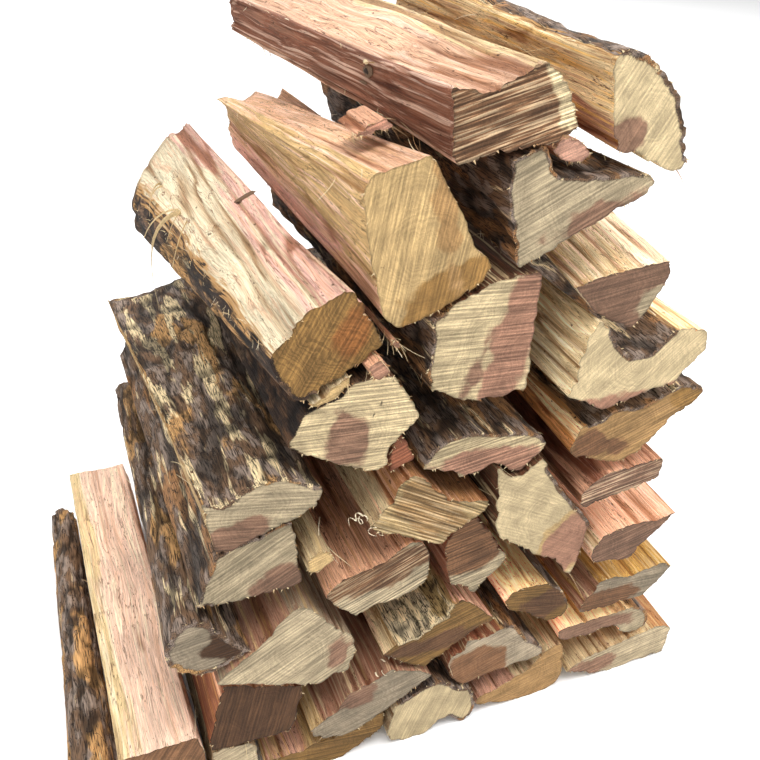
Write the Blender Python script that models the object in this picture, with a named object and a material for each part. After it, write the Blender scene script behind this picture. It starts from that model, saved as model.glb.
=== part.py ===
"""A stack of split firewood: logs lying side by side and on each other, all along Y, with a few loose
chips wedged between them.

The front ends of the logs stand on the plane Y = 0 before the stack is centred. Each log is drawn as
the outline of its front end, in millimetres: across from the left datum and down from the top datum.
An outline is drawn back a little where it would touch its neighbour, then it is carried along the
length of the log through a few rings, which are drawn in here and there so that the sides are uneven.
"""

import math
import random
from dataclasses import dataclass, field

import bpy
import bmesh

MM = 0.001
GROUND = 727.0  # how far the ground lies below the top datum, mm
LOG_LENGTH = 400.0  # a common firewood length, 16 inches, mm
CLEAR = 1.3  # air kept between two neighbouring outlines, mm
FACET = 15.0  # longest stretch of an outline without a point, mm
RINGS = 4  # stretches along a log
CHIP_RINGS = 2  # stretches along a short chip
CHIP_LENGTH = 200.0  # anything shorter counts as a chip, mm
SETTLE_PASSES = 60
SETTLE_SHARE = 0.55  # part of the missing air that one pass gives a point
SETTLE_EXTRA = 0.02  # mm added to each such push, so that the passes end
FAN_START = 300.0  # right of here the far ends spread out, mm across
FAN_SLOPE = 0.13  # spread of the far ends for each mm right of FAN_START
BARK_LUMP = 4.5  # deepest hollow along a barked side, mm
SPLIT_LUMP = 3.0  # deepest hollow along a split side, mm
HOLLOW_LEAST = 0.1  # share of the deepest hollow that every point behind the front ring is drawn in
HOLLOW_SWING = 0.45  # share that each of two throws can add to it
END_LEAN = 0.02  # greatest slope of a sawn end
SEED = 16

TONES = {
    "pink": (0.72, 0.40, 0.30, 1.0),
    "cream": (0.74, 0.60, 0.40, 1.0),
    "gold": (0.50, 0.32, 0.15, 1.0),
    "grey": (0.50, 0.44, 0.36, 1.0),
    "bark": (0.19, 0.13, 0.09, 1.0),
}
ROUGHNESS = {"pink": 0.75, "cream": 0.78, "gold": 0.8, "grey": 0.85, "bark": 0.95}


@dataclass
class Log:
    """One split log or chip: its front outline and how it changes on its way to the far end."""

    name: str
    tone: str
    outline: list
    front: float = 0.0  # how far behind the front plane the near end stands, mm
    length: float = LOG_LENGTH
    shift: tuple = (0.0, 0.0)  # move of the whole far end: right, down, mm
    moves: dict = field(default_factory=dict)  # move of single outline points at the far end, mm
    lump: float = SPLIT_LUMP


LOGS = [
    # The bottom row, on the ground
    Log("log_left_bark", "bark",
        [(-4, 690), (-14, 678), (-26, 676), (-37, 686), (-44, 704), (-42, 720), (-34, 727), (-6, 727)],
        front=6, length=396, lump=BARK_LUMP,
        moves={1: (5, 3), 2: (7, 3), 3: (10, 2), 4: (13, 0), 5: (13, 0), 6: (12, 0)}),
    Log("log_left_tall", "pink",
        [(-3, 629), (20, 630), (42, 629), (62, 628), (66, 650), (69, 680), (68, 706), (64, 727),
         (8, 727), (1, 700), (-2, 660)],
        front=-3, length=404),
    Log("log_ground_1", "grey",
        [(73, 666), (90, 665), (106, 666), (112, 678), (114, 700), (112, 718), (104, 727), (78, 727),
         (72, 715), (72, 690)],
        front=4),
    Log("log_ground_2", "gold",
        [(116, 693), (133, 697), (152, 699), (163, 694), (176, 694), (192, 695), (207, 692),
         (222, 682), (231, 678), (236, 688), (234, 702), (222, 711), (207, 720), (194, 727),
         (172, 727), (138, 716), (120, 704)],
        front=2, length=392),
    Log("log_ground_3", "cream",
        [(239, 690), (241, 677), (252, 670), (262, 663), (276, 658), (290, 659), (301, 668),
         (311, 679), (321, 680), (327, 692), (329, 708), (326, 721), (317, 727), (309, 721),
         (304, 714), (290, 715), (284, 722), (273, 727), (252, 727), (239, 719), (235, 705)],
        front=-2),
    Log("log_ground_4", "gold",
        [(331, 702), (346, 700), (357, 697), (372, 691), (386, 688), (395, 678), (405, 668),
         (418, 662), (427, 668), (431, 688), (432, 708), (429, 722), (412, 727), (384, 727),
         (366, 723), (348, 717), (332, 712)],
        front=1, length=405),
    Log("log_ground_5", "cream",
        [(435, 708), (446, 701), (457, 695), (478, 691), (500, 687), (514, 685), (530, 683),
         (545, 681), (556, 685), (565, 691), (564, 708), (563, 727), (520, 727), (480, 727),
         (460, 717), (446, 711)],
        front=-1, length=396),
    # The second row
    Log("log_second_1", "gold",
        [(86, 583), (103, 589), (127, 599), (153, 609), (155, 620), (150, 637), (147, 652),
         (143, 664), (120, 662), (96, 661), (73, 658), (72, 645), (77, 625), (81, 602)],
        front=1, length=398),
    Log("log_second_2", "grey",
        [(158, 668), (170, 661), (184, 653), (191, 640), (202, 631), (222, 627), (236, 619),
         (248, 625), (262, 632), (271, 638), (279, 645), (270, 650), (258, 656), (248, 664),
         (235, 671), (222, 677), (206, 686), (190, 689), (174, 685), (163, 677)],
        front=-3),
    Log("log_second_3", "grey",
        [(299, 630), (311, 629), (313, 614), (322, 617), (336, 617), (350, 612), (362, 611),
         (371, 625), (380, 640), (393, 648), (401, 658), (402, 668), (385, 671), (365, 670),
         (345, 672), (330, 674), (316, 677), (305, 671), (299, 655), (294, 640)],
        front=0, length=395, lump=BARK_LUMP),
    Log("log_second_4", "gold",
        [(417, 643), (440, 642), (470, 643), (500, 641), (516, 646), (526, 656), (531, 668),
         (529, 679), (512, 682), (501, 679), (496, 671), (487, 664), (474, 661), (460, 665),
         (440, 662), (425, 661), (418, 655)],
        front=2, length=402),
    # The third row
    Log("log_third_1", "bark",
        [(43, 524), (50, 510), (60, 501), (74, 501), (85, 515), (95, 530), (105, 542), (112, 548),
         (95, 553), (80, 558), (66, 557), (55, 549), (45, 538)],
        front=-2, length=406, lump=BARK_LUMP,
        moves={0: (18, 6), 1: (16, 12), 2: (12, 18), 3: (8, 20), 10: (8, 0), 11: (12, 0), 12: (16, 2)}),
    Log("log_third_2", "grey",
        [(80, 572), (92, 561), (112, 549), (130, 528), (150, 510), (163, 520), (175, 536),
         (187, 550), (196, 560), (200, 575), (199, 590), (193, 604), (183, 601), (171, 607),
         (157, 606), (140, 598), (120, 589), (100, 580)],
        front=-4),
    Log("log_third_3", "gold",
        [(227, 601), (238, 594), (248, 590), (262, 590), (275, 582), (288, 578), (294, 567),
         (300, 560), (309, 563), (320, 573), (330, 584), (338, 597), (325, 602), (311, 610),
         (296, 618), (280, 626), (270, 634), (262, 630), (250, 619), (238, 610)],
        front=0, length=398, lump=BARK_LUMP),
    Log("log_third_4", "gold",
        [(348, 583), (354, 574), (366, 571), (380, 570), (396, 574), (409, 584), (418, 596),
         (423, 608), (426, 618), (420, 627), (406, 627), (395, 621), (380, 609), (365, 598),
         (353, 592)],
        front=3, length=397),
    Log("log_third_5", "grey",
        [(433, 616), (441, 605), (448, 597), (449, 588), (455, 584), (470, 586), (486, 590),
         (505, 588), (522, 586), (531, 587), (540, 594), (530, 606), (512, 626), (485, 624),
         (455, 625), (436, 621)],
        front=-2),
    # The fourth row
    Log("log_fourth_1", "grey",
        [(70, 489), (76, 475), (83, 461), (89, 445), (97, 441), (115, 436), (133, 431), (148, 427),
         (150, 450), (152, 470), (154, 490), (140, 493), (110, 493), (86, 492)],
        front=1, length=402, lump=BARK_LUMP),
    Log("log_fourth_2", "pink",
        [(172, 510), (190, 495), (208, 492), (226, 489), (238, 478), (250, 473), (259, 481),
         (264, 493), (267, 510), (265, 523), (253, 532), (235, 536), (215, 536), (201, 542),
         (189, 533), (179, 521)],
        front=-2, length=399),
    Log("log_fourth_3", "gold",
        [(284, 486), (291, 477), (301, 470), (310, 470), (315, 478), (323, 489), (330, 500),
         (338, 514), (346, 523), (339, 532), (330, 540), (322, 548), (315, 558), (307, 550),
         (301, 541), (292, 540), (287, 530), (283, 515), (281, 498)],
        front=2, length=393),
    Log("log_fourth_4", "cream",
        [(319, 417), (325, 422), (334, 430), (346, 431), (354, 424), (362, 418), (372, 435),
         (383, 452), (396, 470), (412, 488), (425, 507), (421, 525), (418, 545), (413, 563),
         (402, 551), (390, 537), (377, 529), (365, 520), (348, 506), (330, 494), (325, 478),
         (322, 445)],
        front=-3),
    Log("log_fourth_5", "pink",
        [(437, 541), (447, 529), (470, 525), (486, 523), (505, 526), (520, 525), (530, 523),
         (516, 535), (501, 549), (491, 556), (485, 567), (475, 568), (458, 562), (441, 560),
         (435, 551)],
        front=0, length=404),
    # The fifth row
    Log("log_fifth_1", "bark",
        [(80, 388), (90, 392), (101, 393), (110, 383), (125, 379), (140, 379), (155, 386),
         (165, 392), (171, 398), (168, 408), (164, 415), (150, 421), (131, 427), (115, 432),
         (98, 438), (88, 435), (85, 420), (82, 404)],
        front=-4, length=404, lump=BARK_LUMP,
        moves={0: (-14, 26), 1: (-8, 22), 2: (-4, 20), 3: (0, 26), 4: (0, 26), 5: (0, 20),
               6: (0, 12), 15: (-10, 0), 16: (-14, 0), 17: (-16, 12)}),
    Log("log_fifth_2", "gold",
        [(207, 447), (216, 438), (228, 427), (230, 414), (240, 404), (248, 407), (256, 411),
         (266, 425), (280, 440), (298, 447), (318, 448), (313, 462), (301, 466), (287, 474),
         (277, 485), (269, 483), (255, 475), (240, 466), (221, 457)],
        front=-3, length=398),
    Log("log_fifth_3", "grey",
        [(252, 404), (256, 393), (262, 385), (276, 379), (295, 379), (315, 384), (335, 388),
         (350, 392), (360, 398), (366, 405), (362, 412), (352, 420), (345, 427), (335, 426),
         (326, 418), (315, 412), (308, 417), (299, 421), (286, 420), (278, 412), (265, 408)],
        front=0, length=396, lump=BARK_LUMP),
    Log("log_fifth_4", "gold",
        [(391, 420), (396, 407), (401, 397), (418, 398), (428, 389), (440, 388), (452, 391),
         (464, 389), (478, 381), (491, 376), (505, 376), (516, 380), (522, 387), (515, 395),
         (505, 402), (493, 405), (488, 412), (480, 422), (470, 432), (458, 439), (447, 443),
         (432, 441), (415, 434), (398, 430)],
        front=1, lump=BARK_LUMP),
    Log("log_fifth_5", "pink",
        [(410, 471), (417, 465), (428, 457), (442, 453), (460, 452), (480, 450), (494, 449),
         (496, 460), (493, 472), (480, 476), (470, 478), (455, 480), (440, 483), (416, 487),
         (410, 481)],
        front=-1, length=402),
    # The sixth row
    Log("log_sixth_1", "cream",
        [(143, 357), (150, 343), (157, 331), (168, 328), (182, 323), (191, 312), (205, 311),
         (217, 309), (224, 314), (233, 326), (240, 338), (245, 350), (240, 358), (229, 366),
         (223, 376), (222, 388), (215, 395), (205, 394), (196, 388), (185, 382), (170, 374),
         (155, 366)],
        front=-2, length=394),
    Log("log_sixth_2", "cream",
        [(251, 329), (248, 314), (252, 292), (250, 274), (258, 267), (275, 259), (290, 252),
         (305, 249), (318, 247), (335, 247), (335, 280), (335, 315), (335, 345), (322, 346),
         (310, 348), (300, 345), (295, 350), (283, 345), (270, 340), (262, 333)],
        front=-3, length=400, lump=BARK_LUMP),
    Log("log_sixth_3", "cream",
        [(392, 293), (402, 301), (409, 311), (415, 321), (423, 330), (435, 335), (446, 334),
         (456, 328), (464, 322), (470, 317), (486, 315), (503, 323), (508, 339), (500, 350),
         (490, 357), (482, 371), (465, 367), (450, 374), (430, 376), (412, 379), (400, 374),
         (389, 367), (374, 360), (380, 345), (380, 328), (385, 310)],
        front=-4, length=402),
    Log("log_sixth_4", "pink",
        [(366, 266), (382, 262), (402, 258), (425, 256), (453, 254), (455, 266), (452, 278),
         (445, 288), (436, 300), (428, 310), (419, 306), (405, 299), (391, 290), (380, 280)],
        front=1, length=392, shift=(30, -32)),
    # The seventh row
    Log("log_seventh_1", "cream",
        [(131, 284), (139, 274), (146, 267), (149, 258), (160, 252), (173, 246), (184, 240),
         (191, 244), (200, 258), (208, 272), (213, 285), (205, 290), (191, 298), (180, 305),
         (166, 313), (155, 319), (149, 316), (140, 304)],
        front=-4, length=406, lump=BARK_LUMP,
        moves={0: (-30, 26), 1: (-20, -4), 2: (-12, -14), 3: (-8, -12), 4: (-8, -12), 5: (-12, -14),
               6: (-16, -8), 7: (-12, 6), 8: (-9, 14), 9: (-8, 14), 10: (-6, 8), 15: (-20, 20),
               16: (-36, 36), 17: (-38, 38)}),
    Log("log_seventh_2", "gold",
        [(193, 175), (201, 165), (220, 160), (240, 155), (251, 172), (262, 190), (270, 204),
         (277, 222), (288, 230), (293, 239), (285, 250), (270, 258), (255, 265), (240, 271),
         (223, 275), (212, 265), (206, 244), (200, 215), (196, 190)],
        front=-3, length=408,
        moves={0: (3, 38), 1: (8, 46), 2: (6, 54), 3: (0, 50), 4: (0, 40), 5: (0, 26), 17: (6, 10),
               18: (4, 26)}),
    Log("log_seventh_3", "grey",
        [(300, 168), (312, 160), (325, 158), (329, 166), (333, 176), (346, 179), (362, 182),
         (380, 184), (400, 182), (415, 185), (422, 192), (415, 199), (404, 204), (385, 212),
         (365, 221), (345, 231), (326, 240), (315, 243), (310, 226), (304, 205), (300, 186)],
        front=0, length=396, lump=BARK_LUMP),
    # The two logs on top
    Log("log_top_left", "pink",
        [(251, 117), (262, 118), (276, 118), (290, 113), (302, 106), (315, 102), (324, 108),
         (333, 120), (340, 134), (347, 148), (340, 152), (325, 154), (300, 157), (280, 160),
         (259, 163), (252, 160), (252, 140)],
        front=-4, length=410, shift=(-36, 0),
        moves={3: (10, -2), 4: (22, -4), 5: (34, -4), 6: (34, 0), 7: (32, 0), 8: (28, 0), 9: (24, 0),
               10: (20, 0), 11: (10, 0), 13: (0, -4), 14: (0, -10), 15: (0, -12)}),
    Log("log_top_right", "cream",
        [(368, 103), (378, 100), (390, 102), (401, 108), (415, 120), (427, 132), (436, 146),
         (441, 161), (447, 180), (443, 185), (432, 183), (420, 178), (409, 173), (396, 168),
         (383, 165), (378, 154), (375, 140), (372, 125), (368, 113)],
        front=1, length=404, shift=(2, -8), lump=BARK_LUMP,
        moves={1: (0, -8), 2: (0, -10), 3: (0, -4)}),
    # Kindling and chips wedged in the gaps
    Log("kindling_pink", "pink",
        [(338, 166), (343, 158), (353, 155), (366, 163), (372, 171), (362, 176), (348, 173)],
        front=12, length=330, lump=1.0),
    Log("kindling_red", "pink",
        [(227, 382), (231, 371), (236, 373), (242, 385), (247, 393), (243, 398), (234, 401),
         (227, 404), (226, 392)],
        front=4, length=300, lump=1.0),
    Log("chip_wedge", "cream",
        [(158, 463), (166, 457), (176, 460), (178, 468), (168, 475), (160, 479), (157, 472)],
        front=-6, length=130, lump=1.0),
    Log("chip_sliver", "cream",
        [(159, 323), (170, 316), (181, 309), (188, 304), (188, 311), (179, 319), (167, 324)],
        front=-6, length=110, lump=0.5),
    Log("chip_block", "pink",
        [(199, 297), (207, 293), (213, 297), (217, 303), (209, 308), (204, 306)],
        front=-12, length=90, lump=0.5),
    Log("chip_small", "pink",
        [(217, 282), (222, 280), (228, 289), (222, 291)],
        front=-4, length=60, lump=0.5),
    Log("chip_on_log", "pink",
        [(211, 159), (220, 150), (234, 148), (239, 153), (231, 157), (221, 160)],
        front=55, length=40, lump=0.5),
]


def clear_scene():
    """Remove the objects that the scene opened with."""
    for item in list(bpy.data.objects):
        bpy.data.objects.remove(item, do_unlink=True)


def divided(log):
    """Outline points no further apart than FACET, each with its own move at the far end."""
    points = []
    count = len(log.outline)
    for i, (x, drop) in enumerate(log.outline):
        after = (i + 1) % count
        x_after, drop_after = log.outline[after]
        here = log.moves.get(i, (0.0, 0.0))
        there = log.moves.get(after, (0.0, 0.0))
        steps = max(1, math.ceil(math.dist((x, drop), (x_after, drop_after)) / FACET))
        for k in range(steps):
            t = k / steps
            points.append([
                x + (x_after - x) * t,
                drop + (drop_after - drop) * t,
                here[0] + (there[0] - here[0]) * t + log.shift[0],
                here[1] + (there[1] - here[1]) * t + log.shift[1],
            ])
    return points


def nearest(px, pz, ring):
    """The point of a closed ring nearest to a place, and whether the place is inside the ring."""
    best = None
    inside = False
    for a, b in zip(ring, ring[1:] + ring[:1]):
        dx, dz = b[0] - a[0], b[1] - a[1]
        span = dx * dx + dz * dz
        t = min(1.0, max(0.0, ((px - a[0]) * dx + (pz - a[1]) * dz) / span))
        x, z = a[0] + dx * t, a[1] + dz * t
        away = math.dist((px, pz), (x, z))
        if best is None or away < best[0]:
            best = (away, x, z)
        if (a[1] > pz) != (b[1] > pz) and px < a[0] + dx * (pz - a[1]) / dz:
            inside = not inside
    return best, inside


def settle(rings):
    """Draw the outlines apart until each keeps CLEAR of its neighbours."""
    for _ in range(SETTLE_PASSES):
        moved = False
        for i, ring in enumerate(rings):
            for other in rings[:i] + rings[i + 1:]:
                low_x, high_x = min(p[0] for p in other), max(p[0] for p in other)
                low_z, high_z = min(p[1] for p in other), max(p[1] for p in other)
                for point in ring:
                    if not (low_x - CLEAR < point[0] < high_x + CLEAR):
                        continue
                    if not (low_z - CLEAR < point[1] < high_z + CLEAR):
                        continue
                    (away, x, z), inside = nearest(point[0], point[1], other)
                    if away >= CLEAR and not inside:
                        continue
                    push = (CLEAR + away if inside else CLEAR - away) * SETTLE_SHARE + SETTLE_EXTRA
                    sign = -1.0 if inside else 1.0
                    scale = sign * push / max(away, 0.01)
                    point[0] += (point[0] - x) * scale
                    if point[1] < GROUND - 0.5:
                        point[1] = min(GROUND, point[1] + (point[1] - z) * scale)
                    moved = True
        if not moved:
            return


def inward(ring):
    """A unit step from each point of a closed ring towards the inside of the log."""
    area = sum(a[0] * b[1] - b[0] * a[1] for a, b in zip(ring, ring[1:] + ring[:1]))
    turn = math.copysign(1.0, area)
    steps = []
    for before, after in zip(ring[-1:] + ring[:-1], ring[1:] + ring[:1]):
        dx, dz = after[0] - before[0], after[1] - before[1]
        span = math.hypot(dx, dz)
        steps.append((-turn * dz / span, turn * dx / span))
    return steps


def fan(x, part):
    """How far the spread of the right-hand logs carries a point, a part of the way along the logs."""
    return max(0.0, x - FAN_START) * FAN_SLOPE * part


def build_log(log, ring, dice):
    """A closed mesh object from the front ring, carried through the log's length."""
    count = len(ring)
    middle_x = sum(p[0] for p in ring) / count
    middle_z = sum(p[1] for p in ring) / count
    lean_x, lean_z = dice.uniform(-END_LEAN, END_LEAN), dice.uniform(-END_LEAN, END_LEAN)
    steps = inward(ring)
    rings = RINGS if log.length > CHIP_LENGTH else CHIP_RINGS
    hollow = [[dice.random() for _ in range(count)] for _ in range(rings + 1)]
    mesh = bmesh.new()
    rows = []
    for j in range(rings + 1):
        part = j / rings
        row = []
        for k, (x, drop, move_x, move_drop) in enumerate(ring):
            draw = 0.0
            if j:
                draw = log.lump * (HOLLOW_LEAST + HOLLOW_SWING * (hollow[j][k] + hollow[j][k - 1]))
            y = log.front + log.length * part + (x - middle_x) * lean_x + (drop - middle_z) * lean_z
            px = x + steps[k][0] * draw + move_x * part
            pz = drop + steps[k][1] * draw + move_drop * part
            if drop > GROUND - 0.5:
                pz = GROUND
            px += fan(px, y / LOG_LENGTH)
            row.append(mesh.verts.new((px * MM, y * MM, (GROUND - pz) * MM)))
        rows.append(row)
    for near, far in zip(rows, rows[1:]):
        for k in range(count):
            mesh.faces.new((near[k - 1], near[k], far[k], far[k - 1]))
    caps = [mesh.faces.new(rows[0]), mesh.faces.new(rows[-1])]
    mesh.normal_update()
    bmesh.ops.triangulate(mesh, faces=caps, ngon_method="EAR_CLIP")
    bmesh.ops.recalc_face_normals(mesh, faces=mesh.faces)
    if mesh.calc_volume(signed=True) < 0:
        bmesh.ops.reverse_faces(mesh, faces=mesh.faces)
    data = bpy.data.meshes.new(log.name)
    mesh.to_mesh(data)
    mesh.free()
    item = bpy.data.objects.new(log.name, data)
    bpy.context.scene.collection.objects.link(item)
    return item


def wood_material(tone):
    """A plain wood or bark finish for a tone."""
    material = bpy.data.materials.new(f"firewood_{tone}")
    material.use_nodes = True
    shader = material.node_tree.nodes["Principled BSDF"]
    shader.inputs["Base Color"].default_value = TONES[tone]
    shader.inputs["Roughness"].default_value = ROUGHNESS[tone]
    shader.inputs["Metallic"].default_value = 0.0
    return material


def centre(items):
    """Move every mesh so that the stack stands on the ground with its box centred on the origin."""
    corners = [v.co for item in items for v in item.data.vertices]
    middle_x = (min(c.x for c in corners) + max(c.x for c in corners)) / 2
    middle_y = (min(c.y for c in corners) + max(c.y for c in corners)) / 2
    for item in items:
        for vertex in item.data.vertices:
            vertex.co.x -= middle_x
            vertex.co.y -= middle_y


def main():
    """Draw the outlines apart, build every log and centre the stack."""
    clear_scene()
    dice = random.Random(SEED)
    rings = [divided(log) for log in LOGS]
    settle(rings)
    materials = {tone: wood_material(tone) for tone in TONES}
    items = []
    for log, ring in zip(LOGS, rings):
        item = build_log(log, ring, dice)
        item.data.materials.append(materials[log.tone])
        items.append(item)
    centre(items)


main()
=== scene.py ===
"""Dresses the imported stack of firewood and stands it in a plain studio.

Each log of the frame is drawn again over its plain solid. The outline rings of the solid are read from the
frame, drawn finer and carried along the log, and then the surface is worked: torn grain on the split sides,
plates and cracks on the bark, saw marks on the two ends. A second piece for each log holds its loose fibres,
crumbs, splinters and shavings. Colours come from named tones laid in zones, which are given in millimetres on
the plane of the front ends, as the source gives the outlines.
"""

import logging
import math
import random
from dataclasses import dataclass, field
from enum import Enum
from itertools import product

import bmesh
import bpy
import numpy as np
from mathutils import Matrix, Vector

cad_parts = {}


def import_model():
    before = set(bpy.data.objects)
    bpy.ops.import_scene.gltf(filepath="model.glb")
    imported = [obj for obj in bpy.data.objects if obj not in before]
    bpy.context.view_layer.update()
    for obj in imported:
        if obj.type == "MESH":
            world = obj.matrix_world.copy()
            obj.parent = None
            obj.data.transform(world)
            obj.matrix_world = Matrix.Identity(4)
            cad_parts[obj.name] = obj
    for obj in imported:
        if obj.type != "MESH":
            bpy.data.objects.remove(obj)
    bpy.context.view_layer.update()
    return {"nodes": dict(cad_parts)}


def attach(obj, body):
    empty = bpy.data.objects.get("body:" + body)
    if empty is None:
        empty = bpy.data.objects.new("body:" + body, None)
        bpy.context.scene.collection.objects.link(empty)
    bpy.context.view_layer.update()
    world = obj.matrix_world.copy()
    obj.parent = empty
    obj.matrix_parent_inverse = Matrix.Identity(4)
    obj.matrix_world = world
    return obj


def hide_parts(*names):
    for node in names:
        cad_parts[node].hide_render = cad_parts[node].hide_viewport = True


MM = 0.001
MIDDLE_ACROSS = 276.85  # across reading at the middle of the stack, mm
FRONT_PLANE = -197.46  # where the plane of the front ends stands along Y, mm
GROUND_DROP = 727.0  # drop reading at the ground, mm
BODY = "root"
ACROSS_DROP = slice(None, None, 2)  # the across and drop readings of a place
MERGE = 1e-5  # points closer than this are one, metres
TINY = 1e-9  # keeps a division from zero

# Numbers that scatter the corners of the shape noise
PLACE_PRIMES = (73856093, 19349663, 83492791)
SEED_PRIME = 2654435761
STIR_PRIME = 1274126177
STIR_MASK = 0x7FFFFFFF
VALUE_MASK = 0xFFFF
VALUE_HALF = 32767.5

# Short names of two types
Place = tuple[float, float, float]
Mesh = bmesh.types.BMesh

log_book = logging.getLogger("firewood")


class Slot(Enum):
    """Material slots of the record."""

    PINK = "pink_wood"
    CREAM = "cream_wood"
    GOLDEN = "golden_wood"
    GREY = "grey_wood"
    BARKED = "barked_wood"


class Tone(Enum):
    """Colours of the wood and bark, as display values."""

    CREAM = (214, 192, 150)
    PALE = (244, 230, 198)
    STRAW = (204, 172, 120)
    YELLOW = (214, 172, 92)
    GREYED = (186, 168, 136)
    ASH = (164, 148, 124)
    TAN = (178, 140, 92)
    GOLD = (158, 120, 68)
    ORANGE = (188, 134, 86)
    BLUSH = (244, 208, 186)
    PETAL = (240, 190, 176)
    SALMON = (232, 178, 144)
    PINK = (218, 168, 144)
    ROSE = (172, 128, 104)
    DUSKY = (146, 112, 90)
    REDDISH = (140, 86, 62)
    HEART = (128, 92, 64)
    UMBER = (84, 58, 38)
    OLIVE = (142, 116, 70)
    PEACH = (228, 182, 150)
    BUTTER = (232, 206, 156)
    RUSSET = (150, 98, 52)
    BARK_GREY = (128, 112, 100)
    BARK_BROWN = (100, 76, 56)
    BARK_OCHRE = (176, 134, 84)
    BARK_DARK = (44, 32, 25)
    BARK_RUST = (148, 106, 66)

    def linear(self) -> tuple[float, float, float, float]:
        """The tone as linear light, with a full alpha."""
        parts = [value / 255 for value in self.value]
        light = [p / 12.92 if p <= 0.04045 else ((p + 0.055) / 1.055) ** 2.4 for p in parts]
        return (light[0], light[1], light[2], 1.0)


class BarkKind(Enum):
    """How deep and how coarse a bark is: crack depth in mm and plate width in mm."""

    THIN = (0.9, 9.0)
    FLAKY = (2.0, 15.0)
    FURROWED = (2.6, 8.0)


class Relief(Enum):
    """Noise of the shapes: its size in mm across the log, along it and down, and a step added to the seed."""

    RIDGE = (7.0, 150.0, 7.0, 0)
    LINE = (3.2, 60.0, 3.2, 1)
    LAYER = (13.0, 230.0, 13.0, 2)
    WARP_ACROSS = (14.0, 34.0, 14.0, 3)
    WARP_ALONG = (14.0, 34.0, 14.0, 4)
    WARP_DOWN = (14.0, 34.0, 14.0, 5)
    SMALL = (4.0, 9.0, 4.0, 7)
    LUMP = (24.0, 60.0, 24.0, 8)
    RAGGED = (2.6, 9.0, 2.6, 9)
    SAW = (60.0, 3.3, 1.0, 11)
    DISH = (34.0, 500.0, 34.0, 12)
    GASH = (9.0, 190.0, 9.0, 13)


class Pattern(Enum):
    """Noise of the finishes: its scale per mm across the log, along it and down, and how fine it goes."""

    WAVE = (0.024, 0.006, 0.024, 2.0)
    BARK_PATCH = (0.034, 0.012, 0.034, 4.0)
    BARK_BROAD = (0.11, 0.014, 0.11, 4.0)
    BARK_PLATE = (0.10, 0.04, 0.10, 6.0)
    BARK_FIBRE = (1.0, 0.08, 1.0, 4.0)
    BARK_GRIT = (2.2, 1.4, 2.2, 3.0)
    BROAD = (0.09, 0.006, 0.09, 3.0)
    STREAK = (0.32, 0.005, 0.32, 3.0)
    LINE = (0.7, 0.006, 0.7, 4.0)
    FIBRE = (2.2, 0.016, 2.2, 2.0)
    CHECK = (0.15, 0.009, 0.15, 4.0)
    HAIR = (5.5, 0.06, 5.5, 1.0)
    FLECK = (0.42, 0.13, 0.42, 2.0)
    STAIN = (0.03, 0.012, 0.03, 4.0)
    SAW_LINE = (0.02, 0.5, 1.0, 3.0)  # along the stroke, across it
    SCRATCH = (0.05, 1.6, 1.0, 2.0)
    BAND = (0.012, 0.16, 1.0, 2.0)
    FUZZ = (1.3, 1.3, 1.3, 4.0)
    BLOTCH = (0.05, 0.05, 0.05, 5.0)
    PIT = (0.7, 0.7, 0.7, 1.0)
    SPECK = (900.0, 900.0, 900.0, 2.0)  # per metre
    FLOOR = (3.0, 3.0, 3.0, 3.0)  # per metre


@dataclass(frozen=True)
class Zone:
    """A patch of another tone: an ellipse on the plane of the ends, over a stretch of the log's length."""

    across: float
    drop: float
    wide: float
    high: float
    tone: Tone
    turn: float = 0.0  # degrees, rising to the right
    near: float = -100.0  # where along the log it starts, mm behind the front plane
    far: float = 600.0
    soft: float = 2.4  # width of its edge, mm

    def depth(self, across: np.ndarray, drop: np.ndarray, behind: np.ndarray) -> np.ndarray:
        """How deep inside the zone places lie.

        Args:
            across: readings to the right, mm.
            drop: readings down, mm.
            behind: distances behind the front plane, mm.

        Returns:
            Millimetres, negative outside.
        """
        angle = math.radians(self.turn)
        dx, dz = across - self.across, self.drop - drop
        u = (dx * math.cos(angle) + dz * math.sin(angle)) / self.wide
        v = (dz * math.cos(angle) - dx * math.sin(angle)) / self.high
        inside = (1.0 - np.sqrt(u * u + v * v)) * min(self.wide, self.high)
        stretch = np.minimum(behind - self.near, self.far - behind) * 0.2
        return np.minimum(inside, stretch)


@dataclass(frozen=True)
class Bark:
    """Bark on a log, from one place on the outline clockwise to another."""

    start: tuple[float, float] = (0.0, 0.0)
    stop: tuple[float, float] = (0.0, 0.0)  # the same as start for bark all round
    kind: BarkKind = BarkKind.FLAKY
    thick: float = 3.5  # how far it shows on the end, mm
    body: Tone = Tone.BARK_BROWN
    plate: Tone = Tone.BARK_GREY
    flake: Tone = Tone.BARK_RUST
    pale: float = 0.5  # how much bare inner bark shows
    swell: float = 0.0  # how far it stands out beyond the solid, mm


@dataclass(frozen=True)
class SawnEnd:
    """Finish of a log's sawn ends."""

    tone: Tone
    zones: tuple[Zone, ...] = ()
    saw: float = 20.0  # direction of the saw strokes, degrees, rising to the right
    stripe: float = 0.6  # how strongly the strokes show
    pitch: float = 3.0  # distance of the tooth marks, mm
    pith: tuple[float, float] | None = None  # where the growth rings are centred
    ring: float = 0.35  # how strongly the growth rings show
    light: float = 1.0  # how light the end is: partly the end's own tone, partly painted light and shade for how much light falls on that end in the stack
    crack: tuple[tuple[float, float], ...] = ()


@dataclass(frozen=True)
class SplitSide:
    """Finish of a log's split sides."""

    tone: Tone
    zones: tuple[Zone, ...] = ()
    streak: Tone = Tone.CREAM
    torn: float = 1.0  # how rough the tear is
    shadow: Tone = Tone.REDDISH  # the darker lines
    light: float = 1.0  # how light the sides are: painted light and shade, raised on sides that lie in the shade of other logs and lowered on tops that get much light


# Noise for shapes


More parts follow.
